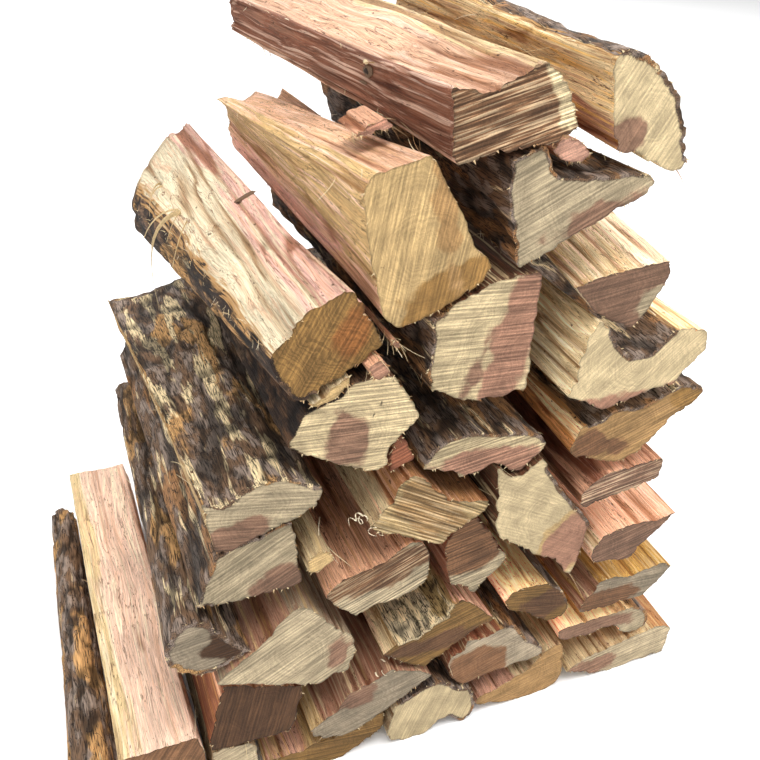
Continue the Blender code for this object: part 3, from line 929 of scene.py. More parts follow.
@dataclass(frozen=True)
class Fray:
    """Loose stuff of one log: how many fibres stand at the bark's edges, corners and rim, and the rest."""

    tone: Tone = Tone.CREAM
    edge: int = 46
    corner: int = 16
    rim: int = 22
    crumbs: int = 14
    scraps: tuple[Scrap, ...] = ()
    splinters: tuple[Splinter, ...] = ()
    shavings: tuple[Shaving, ...] = ()

    def spot(
        self, skin: np.ndarray, out: np.ndarray, at: Scrap | Splinter | Shaving
    ) -> tuple[Vector, Vector]:
        """The place and the way out of the skin nearest to a piece's reading and distance behind."""
        front = front_frame(skin[0])[:, ACROSS_DROP]
        column = int(np.argmin(np.linalg.norm(front - (at.across, at.drop), axis=1)))
        row = int(np.argmin(np.abs(front_frame(skin[:, column])[:, 1] - at.behind)))
        return Vector(skin[row, column]), Vector(out[row, column])

    def scrap(self, mesh: Mesh, root: Vector, normal: Vector, size: Vector, shade: float, seed: int) -> None:
        """Add a rough lump on the skin.

        Args:
            mesh: the mesh to add it to.
            root: where it sits, metres.
            normal: the way out of the skin.
            size: half sizes along the log, across it and out of it, metres.
            shade: its place on the scale of the finish.
            seed: for its shape.
        """
        layer = mesh.verts.layers.float["shade"]
        side = ALONG.cross(normal).normalized()
        fine = 3 if size.x > LARGE else 1
        verts = bmesh.ops.create_icosphere(mesh, subdivisions=fine, radius=1.0)["verts"]
        shape = np.array([vert.co[:] for vert in verts])
        rough = 1.0 + LUMP * noise(shape, (0.7, 0.7, 0.7), seed)
        for vert, factor in zip(verts, rough):
            x, y, z = vert.co * factor
            vert.co = root + ALONG * x * size.x + side * y * size.y + normal * z * size.z
            vert[layer] = shade

    def special(self, mesh: Mesh, skin: np.ndarray, out: np.ndarray, seed: int) -> None:
        """Add the scraps, splinters and shavings that are placed one by one."""
        for piece in self.scraps:
            size = Vector((piece.long, piece.wide, piece.high)) * MM
            self.scrap(mesh, *self.spot(skin, out, piece), size, piece.shade, seed)
        for piece in self.splinters:
            root, normal = self.spot(skin, out, piece)
            heading = Vector(piece.heading)
            pull = Vector(piece.pull)
            start = root + normal * SPLINTER_OUT * MM
            path = curled(start, heading, pull, piece.length * MM, SPLINTER_STEPS)
            side = SPLINTER_SIDE.cross(heading).normalized()
            ribbon(mesh, path, side, piece.width * MM, SPLINTER_SHADE, SPLINTER_TAPER)
        for piece in self.shavings:
            root, normal = self.spot(skin, out, piece)
            axis = Vector(piece.axis)
            start = root + normal * SHAVING_OUT * MM
            path = coiled(start, axis, piece.radius * MM, piece.length * MM, piece.turns)
            ribbon(mesh, path, axis.normalized(), SHAVING_WIDTH, SHAVING_SHADE)

    def strand(self, mesh: Mesh, root: Vector, normal: Vector, kind: Strand, dice: random.Random) -> None:
        """Add a fibre that lies along the log.

        Args:
            mesh: the mesh to add it to.
            root: where it starts, metres.
            normal: the way out of the skin.
            kind: its greatest size.
            dice: what it is drawn with.
        """
        along = Vector((dice.uniform(-STRAND_SWAY, STRAND_SWAY), dice.choice((-1.0, -1.0, 1.0)), 0.0))
        length = dice.uniform(*STRAND_LENGTHS) * kind.longest * MM
        lift = normal * dice.uniform(*STRAND_LIFT)
        pull = normal * dice.uniform(*STRAND_CURL) + STRAND_DROOP
        side = along.cross(normal).normalized()
        path = curled(root - normal * ROOTED, along + lift, pull, length)
        ribbon(mesh, path, side, dice.uniform(*STRAND_WIDTHS) * kind.widest * MM, dice.random())

    def bristle(self, mesh: Mesh, root: Vector, normal: Vector, dice: random.Random) -> None:
        """Add a short fibre that stands at the sawn rim.

        Args:
            mesh: the mesh to add it to.
            root: where it starts, metres.
            normal: the way out of the skin.
            dice: what it is drawn with.
        """
        lean = normal * dice.uniform(*BRISTLE_LEAN)
        across = dice.uniform(-BRISTLE_SWAY, BRISTLE_SWAY)
        sway = Vector((across, dice.uniform(*BRISTLE_FORWARD), BRISTLE_DIP))
        side = Vector((-normal.z, 0.0, normal.x))
        length = dice.uniform(*BRISTLE_LENGTHS) * MM
        path = curled(root - normal * BRISTLE_ROOTED, lean + sway, BRISTLE_DROOP, length, BRISTLE_STEPS)
        ribbon(mesh, path, side, dice.uniform(*BRISTLE_WIDTHS) * MM, dice.random() * BRISTLE_SHADE)

    def places(self, skin: np.ndarray, bark: np.ndarray) -> tuple[list[int], list[int], list[int]]:
        """The columns of a log's skin that are clear of the ground, with the bark's edges and corners.

        Args:
            skin: places of the log's skin, rows x columns x 3, metres.
            bark: how far inside the bark each column lies, mm.

        Returns:
            The clear columns, the edges and the corners.
        """
        ahead = np.roll(skin[0], -CORNER_SPAN, axis=0) - skin[0]
        behind = skin[0] - np.roll(skin[0], CORNER_SPAN, axis=0)
        turn = behind[:, 0] * ahead[:, 2] - behind[:, 2] * ahead[:, 0]
        turn /= np.linalg.norm(ahead, axis=1) * np.linalg.norm(behind, axis=1)
        high = skin[:, :, 2].mean(axis=0) > GROUND_CLEAR
        clear = [c for c in range(len(bark)) if high[c]]
        edges = [c for c in clear if EDGE_FROM < bark[c] < EDGE_TO]
        corners = [c for c in clear if turn[c] < CORNER_TURN and bark[c] < EDGE_FROM]
        return clear, edges, corners

    def build(self, node: str, skin: np.ndarray, bark: np.ndarray, seed: int) -> bpy.types.Object | None:
        """Grow the fibres on a log.

        Args:
            node: the log's node.
            skin: places of the log's skin, rows x columns x 3, metres.
            bark: how far inside the bark each column lies, mm.
            seed: for the places.

        Returns:
            The piece, or nothing where the log has none.
        """
        dice = random.Random(seed)
        mesh = bmesh.new()
        mesh.verts.layers.float.new("shade")
        out = outward(skin)
        rows = len(skin)
        clear, edges, corners = self.places(skin, bark)
        for columns, count, kind in ((edges, self.edge, AT_BARK), (corners, self.corner, AT_CORNER)):
            for _ in range(count if columns else 0):
                column = dice.choice(columns)
                row = dice.randrange(1, rows - STRAND_STOP)
                self.strand(mesh, Vector(skin[row, column]), Vector(out[row, column]), kind, dice)
        for _ in range(self.rim if clear else 0):
            column = dice.choice(clear)
            self.bristle(mesh, Vector(skin[0, column]), Vector(out[0, column]), dice)
        self.special(mesh, skin, out, seed)
        if not mesh.faces:
            mesh.free()
            return None
        bmesh.ops.solidify(mesh, geom=list(mesh.faces), thickness=FIBRE_THICK)
        for i in range(self.crumbs if edges else 0):
            column = dice.choice(edges)
            row = dice.randrange(1, rows - 1)
            size = Vector([dice.uniform(*span) for span in CRUMB_SIZES]) * MM
            shade = -dice.uniform(*CRUMB_SHADES)
            self.scrap(mesh, Vector(skin[row, column]), Vector(out[row, column]), size, shade, seed + i)
        for vert in mesh.verts:
            vert.co.z = max(vert.co.z, 0.0)
        bmesh.ops.recalc_face_normals(mesh, faces=mesh.faces)
        item = link(node + "_fibres", mesh)
        item.data.materials.append(fibre_material(item.name, self.tone))
        return item


# Logs

SPLIT_INSET = 0.4  # how far torn sides stand inside the solid on the whole, mm
SPLIT_RELIEF = 0.62  # the relief of a side that isn't torn
WARP_REACH = 5.0  # how far the bark's plates are bent, mm
PLATE_LONG = 3.4  # how much longer than wide a plate is
PLATE_STEP = 6  # added to the seed for the plates
BARK_EDGE = 1.5  # half the width of the bark's edge, mm
RUBS = 2  # how often the corners of an outline are rubbed round
FAR_OUTSIDE = -50.0  # depth inside the bark where a log has none, mm
FAR_INSIDE = 50.0  # the same where the bark goes all round
SIDE_BARK_MOST = 30.0  # depths are kept below this on the sides, mm
END_RAGGED = 0.7  # how uneven the rims of the ends are, mm
END_INSET = 0.2  # how far the ends stand back for their marks, mm
RIM_RELIEF = 0.3  # the rim's shadow reaches this far into an end, mm
RIM_KEPT = 0.4  # saw marks start this far inside an end, mm
END_RELIEF = 0.7
SAW_DEEP = 0.16  # mm
DISH_DEEP = 0.55  # how far an end is from flat, mm
SEAM_MERGE = 1e-7  # metres
CUT_MERGE = 1e-6
STRIP_WIDE = 3.1 * MM  # strips that the ends are cut into, across the saw's strokes
STRIP_LONG = 6.0 * MM  # and along them
FIRST_STRIP = 0.7  # parts of a strip that are left at the two sides
LAST_STRIP = 0.4
STRIP_SPREAD = (0.75, 1.25)
LEAST_ROWS = 4
SAWN = 1  # material index of the ends


def read_layer(data: bpy.types.Mesh, name: str, kind: str, width: int = 1) -> np.ndarray:
    """The numbers stored on the points of a mesh."""
    values = np.empty(len(data.vertices) * width)
    data.attributes[name].data.foreach_get(kind, values)
    return values if width == 1 else values.reshape(-1, width)


def store(data: bpy.types.Mesh, name: str, values: np.ndarray) -> None:
    """Store a number on each point of a mesh."""
    layer = data.attributes.get(name) or data.attributes.new(name, "FLOAT", "POINT")
    layer.data.foreach_set("value", values)


def away_from(places: np.ndarray, starts: np.ndarray, ends: np.ndarray) -> np.ndarray:
    """Distances from flat places to straight stretches, as places x stretches."""
    step = ends - starts
    span = np.maximum((step**2).sum(axis=1), TINY)
    to = places[:, None] - starts[None]
    t = np.clip((to * step[None]).sum(axis=2) / span, 0, 1)
    return np.linalg.norm(to - t[..., None] * step[None], axis=2)


@dataclass
class Log:
    """One split log or chip, drawn over its node."""

    node: str
    slot: Slot
    end: SawnEnd
    side: SplitSide
    bark: Bark | None = None
    spacing: float = 2.4  # distance of points round the outline, mm
    stretch: float = 7.5  # distance of points along the log, mm
    seed: int = 0
    fray: Fray = Fray()
    item: bpy.types.Object | None = field(default=None, init=False)
    skin: np.ndarray | None = field(default=None, init=False)  # places of the finished skin, metres

    def bark_depth(self, outline: np.ndarray) -> np.ndarray:
        """How far inside the bark each place of the front outline lies, in mm along the outline."""
        if self.bark is None:
            return np.full(len(outline), FAR_OUTSIDE)
        if self.bark.start == self.bark.stop:
            return np.full(len(outline), FAR_INSIDE)
        steps = np.linalg.norm(np.roll(outline, -1, axis=0) - outline, axis=1)
        run = np.concatenate([[0.0], np.cumsum(steps)[:-1]])
        around = steps.sum()
        flat = outline[:, ACROSS_DROP]
        start = run[np.argmin(np.linalg.norm(flat - self.bark.start, axis=1))]
        stop = run[np.argmin(np.linalg.norm(flat - self.bark.stop, axis=1))]
        length = (stop - start) % around
        into = (run - start) % around
        inside = np.minimum(into, length - into)
        outside = -np.minimum(into - length, around - into)
        return np.where(into <= length, inside, outside)

    def relief(self, places: np.ndarray, kind: Relief) -> np.ndarray:
        """Noise of a kind, in the log's own pattern."""
        *size, step = kind.value
        return noise(places, tuple(size), self.seed + step)

    def work_surface(
        self, table: np.ndarray, grain: np.ndarray, bark: np.ndarray
    ) -> tuple[np.ndarray, np.ndarray]:
        """Tear the split sides and crack the bark.

        Args:
            table: places in metres, rows x columns x 3.
            grain: the same places carried back to the front outline, mm.
            bark: how far inside the bark each place is, mm.

        Returns:
            The moved places, and the relief from 0, deep, to 1, high, which the finishes use for painted
            shade in the hollows and painted light on the high places.
        """
        torn = self.side.torn
        ridge = self.relief(grain, Relief.RIDGE)
        line = self.relief(grain, Relief.LINE)
        layer = smooth(self.relief(grain, Relief.LAYER), -0.12, 0.12) - 0.5
        gash = smooth(np.abs(self.relief(grain, Relief.GASH)), 0.16, 0.0)
        move = torn * (0.9 * ridge + 0.5 * line + 1.2 * layer - 1.5 * gash) - SPLIT_INSET
        shade = 0.25 * ridge + 0.3 * line + 0.15 * layer - 0.6 * gash
        relief = np.clip(SPLIT_RELIEF + min(torn, 1.0) * shade, 0, 1)
        if self.bark:
            deep, width = self.bark.kind.value
            bends = (Relief.WARP_ACROSS, Relief.WARP_ALONG, Relief.WARP_DOWN)
            warped = grain + WARP_REACH * np.stack([self.relief(grain, bend) for bend in bends], axis=-1)
            fissure = np.abs(noise(warped, (width, width * PLATE_LONG, width), self.seed + PLATE_STEP))
            plate = smooth(fissure, 0.02, 0.34)
            small = self.relief(warped, Relief.SMALL)
            rough = deep * (plate - 0.75) + 0.5 * small + 0.9 * self.relief(grain, Relief.LUMP)
            cover = smooth(bark, -BARK_EDGE, BARK_EDGE)
            move = move * (1 - cover) + (rough + self.bark.swell) * cover
            # On the bark the relief follows the plates, so the finish paints shade into the fissures between
            # them
            relief = relief * (1 - cover) + np.clip(plate * 0.8 + 0.25 * small, 0, 1) * cover
        moved = table + outward(table) * move[..., None] * MM
        moved[..., 2] = np.maximum(moved[..., 2], 0.0)
        return moved, relief

    def build(self, node: bpy.types.Object) -> None:
        """Draw the log over its node.

        Args:
            node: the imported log.
        """
        rings = read_rings(node)
        length = (rings[-1, :, 1].mean() - rings[0, :, 1].mean()) / MM
        rows = max(LEAST_ROWS, round(length / self.stretch))
        table = finer_rings(rings, self.spacing * MM, rows, RUBS)
        grain = front_frame(table)
        grain[..., 0] = grain[0, :, 0]
        grain[..., 2] = grain[0, :, 2]
        bark = np.repeat(self.bark_depth(front_frame(table[0]))[None], rows + 1, axis=0)
        moved, relief = self.work_surface(table, grain, bark)
        ragged = self.relief(grain[[0, -1]], Relief.RAGGED) * END_RAGGED
        moved[0, :, 1] += (ragged[0] + END_INSET) * MM
        moved[-1, :, 1] -= (ragged[1] + END_INSET) * MM
        mesh = self.tube(moved, grain, bark, relief)
        self.close_ends(mesh)
        self.skin = moved
        self.item = link(self.node + "_wood", mesh)
        self.mark(self.item.data, moved)

    def tube(self, table: np.ndarray, grain: np.ndarray, bark: np.ndarray, relief: np.ndarray) -> Mesh:
        """The open skin of the log.

        Args:
            table: places in metres, rows x columns x 3.
            grain: grain places, mm.
            bark: depth inside the bark, mm.
            relief: 0, deep, to 1, high.

        Returns:
            The mesh, with its numbers in layers.
        """
        rows, columns = table.shape[0] - 1, table.shape[1]
        mesh = bmesh.new()
        bmesh.ops.create_grid(mesh, x_segments=columns, y_segments=rows, size=1.0)
        layers = {name: mesh.verts.layers.float.new(name) for name in ("bark", "relief")}
        place = mesh.verts.layers.float_vector.new("grain")
        seam = []
        for vert in mesh.verts:
            column = round((vert.co.x + 1) / 2 * columns)
            row = round((vert.co.y + 1) / 2 * rows)
            if column in (0, columns):
                seam.append(vert)
            column %= columns
            vert.co = table[row, column]
            vert[layers["bark"]] = bark[row, column]
            vert[layers["relief"]] = relief[row, column]
            vert[place] = grain[row, column]
        bmesh.ops.remove_doubles(mesh, verts=seam, dist=SEAM_MERGE)
        for face in mesh.faces:
            face.smooth = True
        return mesh

    def close_ends(self, mesh: Mesh) -> None:
        """Fill the two ends and cut them into strips along the saw's strokes."""
        rims = [edge for edge in mesh.edges if edge.is_boundary]
        for edge in rims:
            edge.smooth = False
        caps = bmesh.ops.edgeloop_fill(mesh, edges=rims, mat_nr=SAWN, use_smooth=True)["faces"]
        bmesh.ops.recalc_face_normals(mesh, faces=mesh.faces)
        angle = math.radians(self.end.saw)
        stroke = Vector((math.cos(angle), 0.0, math.sin(angle)))
        side = Vector((-math.sin(angle), 0.0, math.cos(angle)))
        dice = random.Random(self.seed)
        for cap in caps:
            corners = [vert.co.copy() for vert in cap.verts]
            middle = cap.calc_center_median()
            geometry = [cap] + list(cap.verts) + list(cap.edges)
            for normal, gap in ((side, STRIP_WIDE), (stroke, STRIP_LONG)):
                reach = [(corner - middle).dot(normal) for corner in corners]
                at = min(reach) + gap * FIRST_STRIP
                while at < max(reach) - gap * LAST_STRIP:
                    plane = middle + normal * at
                    geometry = bmesh.ops.bisect_plane(
                        mesh, geom=geometry, dist=CUT_MERGE, plane_co=plane, plane_no=normal
                    )["geom"]
                    at += gap * dice.uniform(*STRIP_SPREAD)

    def mark(self, data: bpy.types.Mesh, table: np.ndarray) -> None:
        """Store what the finishes read, and work the saw marks into the ends.

        Args:
            data: the mesh.
            table: places in metres, rows x columns x 3.
        """
        co = np.empty(len(data.vertices) * 3)
        data.vertices.foreach_get("co", co)
        co = co.reshape(-1, 3)
        place = read_layer(data, "grain", "vector", 3)
        bark = read_layer(data, "bark", "value")
        relief = read_layer(data, "relief", "value")
        on_end = np.zeros(len(co), bool)
        for polygon in data.polygons:
            if polygon.material_index == SAWN:
                on_end[list(polygon.vertices)] = True
        rim = np.zeros(len(co))
        front = co[:, 1] < 0.5 * (table[0, :, 1].mean() + table[-1, :, 1].mean())
        reading = front_frame(co)
        skin = self.bark_depth(front_frame(table[0]))
        thick = self.bark.thick if self.bark else 0.0
        for row, wanted in ((0, on_end & front), (-1, on_end & ~front)):
            here = reading[wanted][:, ACROSS_DROP]
            ring = front_frame(table[row])[:, ACROSS_DROP]
            away = away_from(here, ring, np.roll(ring, -1, axis=0))
            rim[wanted] = away.min(axis=1)
            bark[wanted] = np.minimum(skin[away.argmin(axis=1)], thick - rim[wanted])
            drift = ring.mean(axis=0) - front_frame(table[0])[:, ACROSS_DROP].mean(axis=0)
            place[wanted, 0] = here[:, 0] - drift[0]
            place[wanted, 2] = here[:, 1] - drift[1]
            place[wanted, 1] = reading[wanted, 1]
        bark = np.where(on_end, bark, np.minimum(bark, SIDE_BARK_MOST))
        relief = np.where(on_end & (rim > RIM_RELIEF), END_RELIEF, relief)
        marks = np.where(on_end & (rim > RIM_KEPT), self.saw_marks(place), 0.0)
        co[:, 1] += np.where(front, -1.0, 1.0) * marks * MM
        data.vertices.foreach_set("co", co.ravel())
        data.attributes["grain"].data.foreach_set("vector", place.ravel())
        for kind, zones in (("side", self.side.zones), ("end", self.end.zones)):
            for i, zone in enumerate(zones):
                store(data, f"{kind}_{i}", zone.depth(place[:, 0], place[:, 2], place[:, 1]))
        for name, values in (("bark", bark), ("relief", relief), ("rim", rim)):
            store(data, name, values)
        if self.end.crack:
            crack = np.array(self.end.crack)
            store(data, "crack", away_from(place[:, ACROSS_DROP], crack[:-1], crack[1:]).min(axis=1))
        data.update()

    def saw_marks(self, place: np.ndarray) -> np.ndarray:
        """How far the saw's marks stand out of the ends at places in the front frame, in mm."""
        angle = math.radians(self.end.saw)
        across = place[:, 0] * math.sin(angle) + place[:, 2] * math.cos(angle)
        along = place[:, 0] * math.cos(angle) - place[:, 2] * math.sin(angle)
        stroke = np.stack([along, across, np.zeros(len(place))], axis=1)
        return SAW_DEEP * self.relief(stroke, Relief.SAW) + DISH_DEEP * self.relief(place, Relief.DISH)

    def dress(self, outline: np.ndarray) -> None:
        """Give the piece its two finishes.

        Args:
            outline: readings of the front outline, mm.
        """
        middle = outline[:, ACROSS_DROP].mean(axis=0)
        materials = self.item.data.materials
        materials.append(side_material(self.node + "_side", self.side, self.bark))
        materials.append(end_material(self.node + "_end", self.end, self.bark, tuple(middle)))

    def make(self, nodes: dict[str, bpy.types.Object]) -> None:
        """Build and dress the log, and put it in the place of its node."""
        node = nodes[self.node]
        self.build(node)
        self.dress(front_frame(read_rings(node)[0]))
        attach(self.item, BODY)
        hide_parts(self.node)
        loose = self.fray.build(self.node, self.skin, self.bark_depth(front_frame(self.skin[0])), self.seed)
        if loose:
            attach(loose, BODY)
        log_book.info("%s: %d faces", self.item.name, len(self.item.data.polygons))


SEED_STEP = 100  # leaves each log room for its own patterns


@dataclass
class Stack:
    """All the logs and chips."""

    logs: list[Log] = field(default_factory=list)

    def make(self, nodes: dict[str, bpy.types.Object]) -> None:
        """Build every log in order."""
        for i, piece in enumerate(self.logs):
            piece.seed = SEED_STEP * (i + 1)
            piece.make(nodes)


# Rows of the stack

T = Tone  # short, for the tables


def bottom_row() -> list[Log]:
    """The two logs on the left and the five ground logs."""
    return [
        Log("log_left_bark", Slot.BARKED, SawnEnd(T.HEART), SplitSide(T.HEART),
            Bark((-4, 690), (-4, 690), BarkKind.FURROWED, 6.0, T.BARK_BROWN, T.BARK_GREY, T.BARK_OCHRE, 0.2,
                3.5)),
        Log("log_left_tall", Slot.PINK, SawnEnd(T.HEART, saw=60),
            SplitSide(T.BLUSH, (Zone(-2, 620, 14, 40, T.BUTTER),), T.PALE, 0.4, T.PEACH, 1.1)),
        Log("log_ground_1", Slot.GREY, SawnEnd(T.GREYED), SplitSide(T.GREYED)),
        Log("log_ground_2", Slot.GOLDEN, SawnEnd(T.GOLD, saw=-10, light=0.62),
            SplitSide(T.STRAW, (Zone(150, 700, 20, 12, T.PINK),), T.YELLOW)),
        Log("log_ground_3", Slot.CREAM, SawnEnd(T.CREAM, saw=70, stripe=0.3, ring=0.2, light=0.72),
            SplitSide(T.GREYED), Bark((245, 672), (300, 716), BarkKind.THIN, 3.0)),
        Log("log_ground_4", Slot.GOLDEN, SawnEnd(T.TAN, saw=10, stripe=0.4, light=0.85),
            SplitSide(T.CREAM, (Zone(348, 700, 30, 18, T.PINK),), T.SALMON)),
        Log("log_ground_5", Slot.CREAM, SawnEnd(T.GREYED, (Zone(470, 712, 30, 12, T.DUSKY),), saw=8),
            SplitSide(T.CREAM, (Zone(560, 688, 22, 14, T.ORANGE),), T.STRAW)),
    ]


def second_row() -> list[Log]:
    """The four logs of the second row."""
    return [
        Log("log_second_1", Slot.GOLDEN, SawnEnd(T.UMBER, saw=75, stripe=0.7),
            SplitSide(T.REDDISH, (Zone(130, 596, 40, 12, T.SALMON),), T.ORANGE, light=1.4)),
        Log("log_second_2", Slot.GREY,
            SawnEnd(T.ASH, (Zone(201, 644, 20, 13, T.DUSKY),), saw=15, stripe=0.4, light=0.7),
            SplitSide(T.ROSE, (Zone(155, 662, 14, 26, T.STRAW),), T.CREAM),
            fray=Fray(shavings=(
                Shaving(222, 622, 8, (0.6, -0.4, 0.5), 2.6, 10, 1.5),
                Shaving(230, 616, 14, (0.8, -0.2, 0.4), 2.2, 12, 1.4)))),
        Log("log_second_3", Slot.GREY, SawnEnd(T.ASH, (Zone(325, 655, 36, 24, T.HEART),), saw=20, stripe=0.4),
            SplitSide(T.REDDISH), Bark((350, 612), (401, 660), BarkKind.THIN, 2.5)),
        Log("log_second_4", Slot.GOLDEN,
            SawnEnd(T.GREYED, (Zone(450, 655, 60, 14, T.DUSKY),), saw=5, stripe=0.4, light=0.8),
            SplitSide(T.SALMON, (Zone(470, 643, 50, 12, T.CREAM),), T.CREAM, light=2.4),
            Bark((505, 642), (529, 679), BarkKind.THIN, 3.0, T.BARK_RUST)),
    ]


def third_row() -> list[Log]:
    """The five logs of the third row."""
    return [
        Log("log_third_1", Slot.BARKED,
            SawnEnd(T.ASH, (Zone(94, 537, 24, 17, T.UMBER, -35),), saw=5, light=0.75),
            SplitSide(T.STRAW),
            Bark((43, 524), (43, 524), BarkKind.FLAKY, 4.0, T.BARK_BROWN, T.BARK_GREY, T.BARK_OCHRE, 0.8)),
        Log("log_third_2", Slot.GREY, SawnEnd(T.GREYED, (Zone(184, 577, 9, 20, T.DUSKY),), saw=28, light=0.9),
            SplitSide(T.ASH, (Zone(110, 540, 45, 16, T.ROSE, 35),), T.STRAW)),
        Log("log_third_3", Slot.GOLDEN,
            SawnEnd(T.GOLD, (Zone(280, 605, 50, 10, T.HEART),), saw=15, light=0.55),
            SplitSide(T.PINK, (Zone(240, 592, 12, 12, T.CREAM),), T.CREAM, light=1.3),
            Bark((240, 593), (296, 566), BarkKind.FURROWED, 3.0, T.GREYED, T.CREAM, T.OLIVE)),
        Log("log_third_4", Slot.GOLDEN,
            SawnEnd(T.GOLD, (Zone(400, 600, 26, 18, T.HEART),), saw=-15, light=0.5),
            SplitSide(T.STRAW, (Zone(350, 580, 12, 14, T.SALMON),), T.CREAM, light=2.6),
            Bark((396, 574), (423, 608), BarkKind.THIN, 2.0)),
        Log("log_third_5", Slot.GREY, SawnEnd(T.ASH, (Zone(468, 614, 36, 13, T.HEART),), saw=-5, light=0.72),
            SplitSide(T.YELLOW, (Zone(440, 602, 14, 20, T.ROSE),), T.CREAM)),
    ]


def fourth_row() -> list[Log]:
    """The five logs of the fourth row."""
    return [
        Log("log_fourth_1", Slot.GREY,
            SawnEnd(T.GREYED, (Zone(142, 486, 28, 18, T.DUSKY),), saw=30, pith=(150, 495), light=0.72),
            SplitSide(T.UMBER), Bark((86, 492), (148, 427), BarkKind.FLAKY, 2.0)),
        Log("log_fourth_2", Slot.PINK,
            SawnEnd(T.GREYED, (Zone(222, 498, 52, 19, T.HEART, 12),), saw=22, stripe=1.1, light=0.9),
            SplitSide(T.SALMON, (), T.ORANGE)),
        Log("log_fourth_3", Slot.GOLDEN,
            SawnEnd(T.GREYED, (Zone(308, 500, 32, 32, T.HEART),), saw=10, stripe=0.9, light=0.8),
            SplitSide(T.REDDISH, (), T.ROSE)),
        Log("log_fourth_4", Slot.CREAM,
            SawnEnd(T.CREAM, (Zone(402, 520, 30, 44, T.STRAW, -30), Zone(402, 522, 24, 36, T.ROSE, -25)),
                saw=-30, stripe=0.2, light=0.75),
            SplitSide(T.UMBER), Bark((386, 420), (425, 507), BarkKind.THIN, 3.0)),
        Log("log_fourth_5", Slot.PINK, SawnEnd(T.DUSKY, saw=12, stripe=0.6, light=0.66),
            SplitSide(T.SALMON, (Zone(437, 538, 9, 12, T.CREAM),), T.BLUSH, 0.7, T.ROSE, 1.45)),
    ]


def fifth_row() -> list[Log]:
    """The five logs of the fifth row."""
    return [
        Log("log_fifth_1", Slot.BARKED,
            SawnEnd(T.GREYED, (Zone(104, 428, 24, 18, T.DUSKY, 25),), saw=-12, light=0.76),
            SplitSide(T.STRAW),
            Bark((80, 388), (171, 398), BarkKind.FLAKY, 4.5, T.BARK_BROWN, T.BARK_GREY, T.BARK_OCHRE, 1.25)),
        Log("log_fifth_2", Slot.GOLDEN,
            SawnEnd(T.STRAW, (Zone(262, 445, 40, 22, T.TAN, -48),), saw=-32, stripe=1.2, light=0.72),
            SplitSide(T.ORANGE, (Zone(212, 442, 14, 14, T.CREAM),), T.SALMON),
            fray=Fray(shavings=(
                Shaving(208, 446, 6, (-0.7, -0.5, 0.2), 3.0, 12, 1.6),
                Shaving(212, 452, 2, (-0.4, -0.8, -0.4), 3.6, 9, 1.3),
                Shaving(207, 447, 14, (-0.9, -0.2, -0.3), 2.6, 14, 2.0),
                Shaving(216, 456, 1, (0.1, -0.9, -0.6), 2.8, 8, 1.2)))),
        Log("log_fifth_3", Slot.GREY,
            SawnEnd(T.CREAM, (Zone(318, 412, 54, 14, T.ROSE, -10),), saw=8, stripe=0.9, light=0.76),
            SplitSide(T.UMBER), Bark((254, 402), (366, 405), BarkKind.THIN, 3.0)),
        Log("log_fifth_4", Slot.GOLDEN,
            SawnEnd(T.TAN, (Zone(414, 420, 34, 12, T.HEART, -14), Zone(505, 388, 16, 12, T.GOLD)), saw=20,
                light=0.8),
            SplitSide(T.RUSSET, (Zone(396, 404, 8, 10, T.CREAM),), T.ORANGE, light=2.0),
            Bark((403, 397), (522, 387), BarkKind.FLAKY, 3.0)),
        Log("log_fifth_5", Slot.PINK, SawnEnd(T.DUSKY, saw=10, stripe=1.1),
            SplitSide(T.SALMON, (Zone(420, 460, 20, 8, T.REDDISH),), T.PINK)),
    ]


def sixth_row() -> list[Log]:
    """The four logs of the sixth row."""
    return [
        Log("log_sixth_1", Slot.CREAM,
            SawnEnd(T.CREAM, (Zone(190, 362, 17, 26, T.DUSKY, 8),), saw=-4, stripe=0.8, pitch=2.3, light=0.9,
                crack=((222, 316), (216, 330), (207, 345))),
            SplitSide(T.UMBER), Bark((160, 367), (214, 309), BarkKind.THIN, 1.0, T.BARK_DARK, T.UMBER,
                T.BARK_BROWN, 0.0)),
        Log("log_sixth_2", Slot.CREAM,
            SawnEnd(T.CREAM, (Zone(318, 300, 18, 80, T.ROSE, -12), Zone(286, 325, 6, 26, T.DUSKY, -20)),
                saw=-4, stripe=0.7, pith=(380, 330), light=0.8),
            SplitSide(T.UMBER), Bark((251, 329), (258, 267), BarkKind.FLAKY, 2.5)),
        Log("log_sixth_3", Slot.CREAM,
            SawnEnd(T.CREAM, (Zone(430, 376, 70, 8, T.ROSE),), saw=40, stripe=0.3, light=0.84),
            SplitSide(T.CREAM, (Zone(385, 366, 16, 8, T.ROSE), Zone(500, 325, 26, 12, T.ORANGE)), T.PALE,
                1.4, T.TAN, 1.6),
            Bark((403, 303), (472, 316), BarkKind.FLAKY, 4.0)),
        Log("log_sixth_4", Slot.PINK,
            SawnEnd(T.DUSKY, (Zone(446, 290, 14, 16, T.GREYED),), saw=8, light=0.68),
            SplitSide(T.PALE, (Zone(396, 258, 30, 8, T.CREAM), Zone(372, 276, 12, 16, T.STRAW)), T.BLUSH,
                0.8, T.ORANGE, 1.45)),
    ]


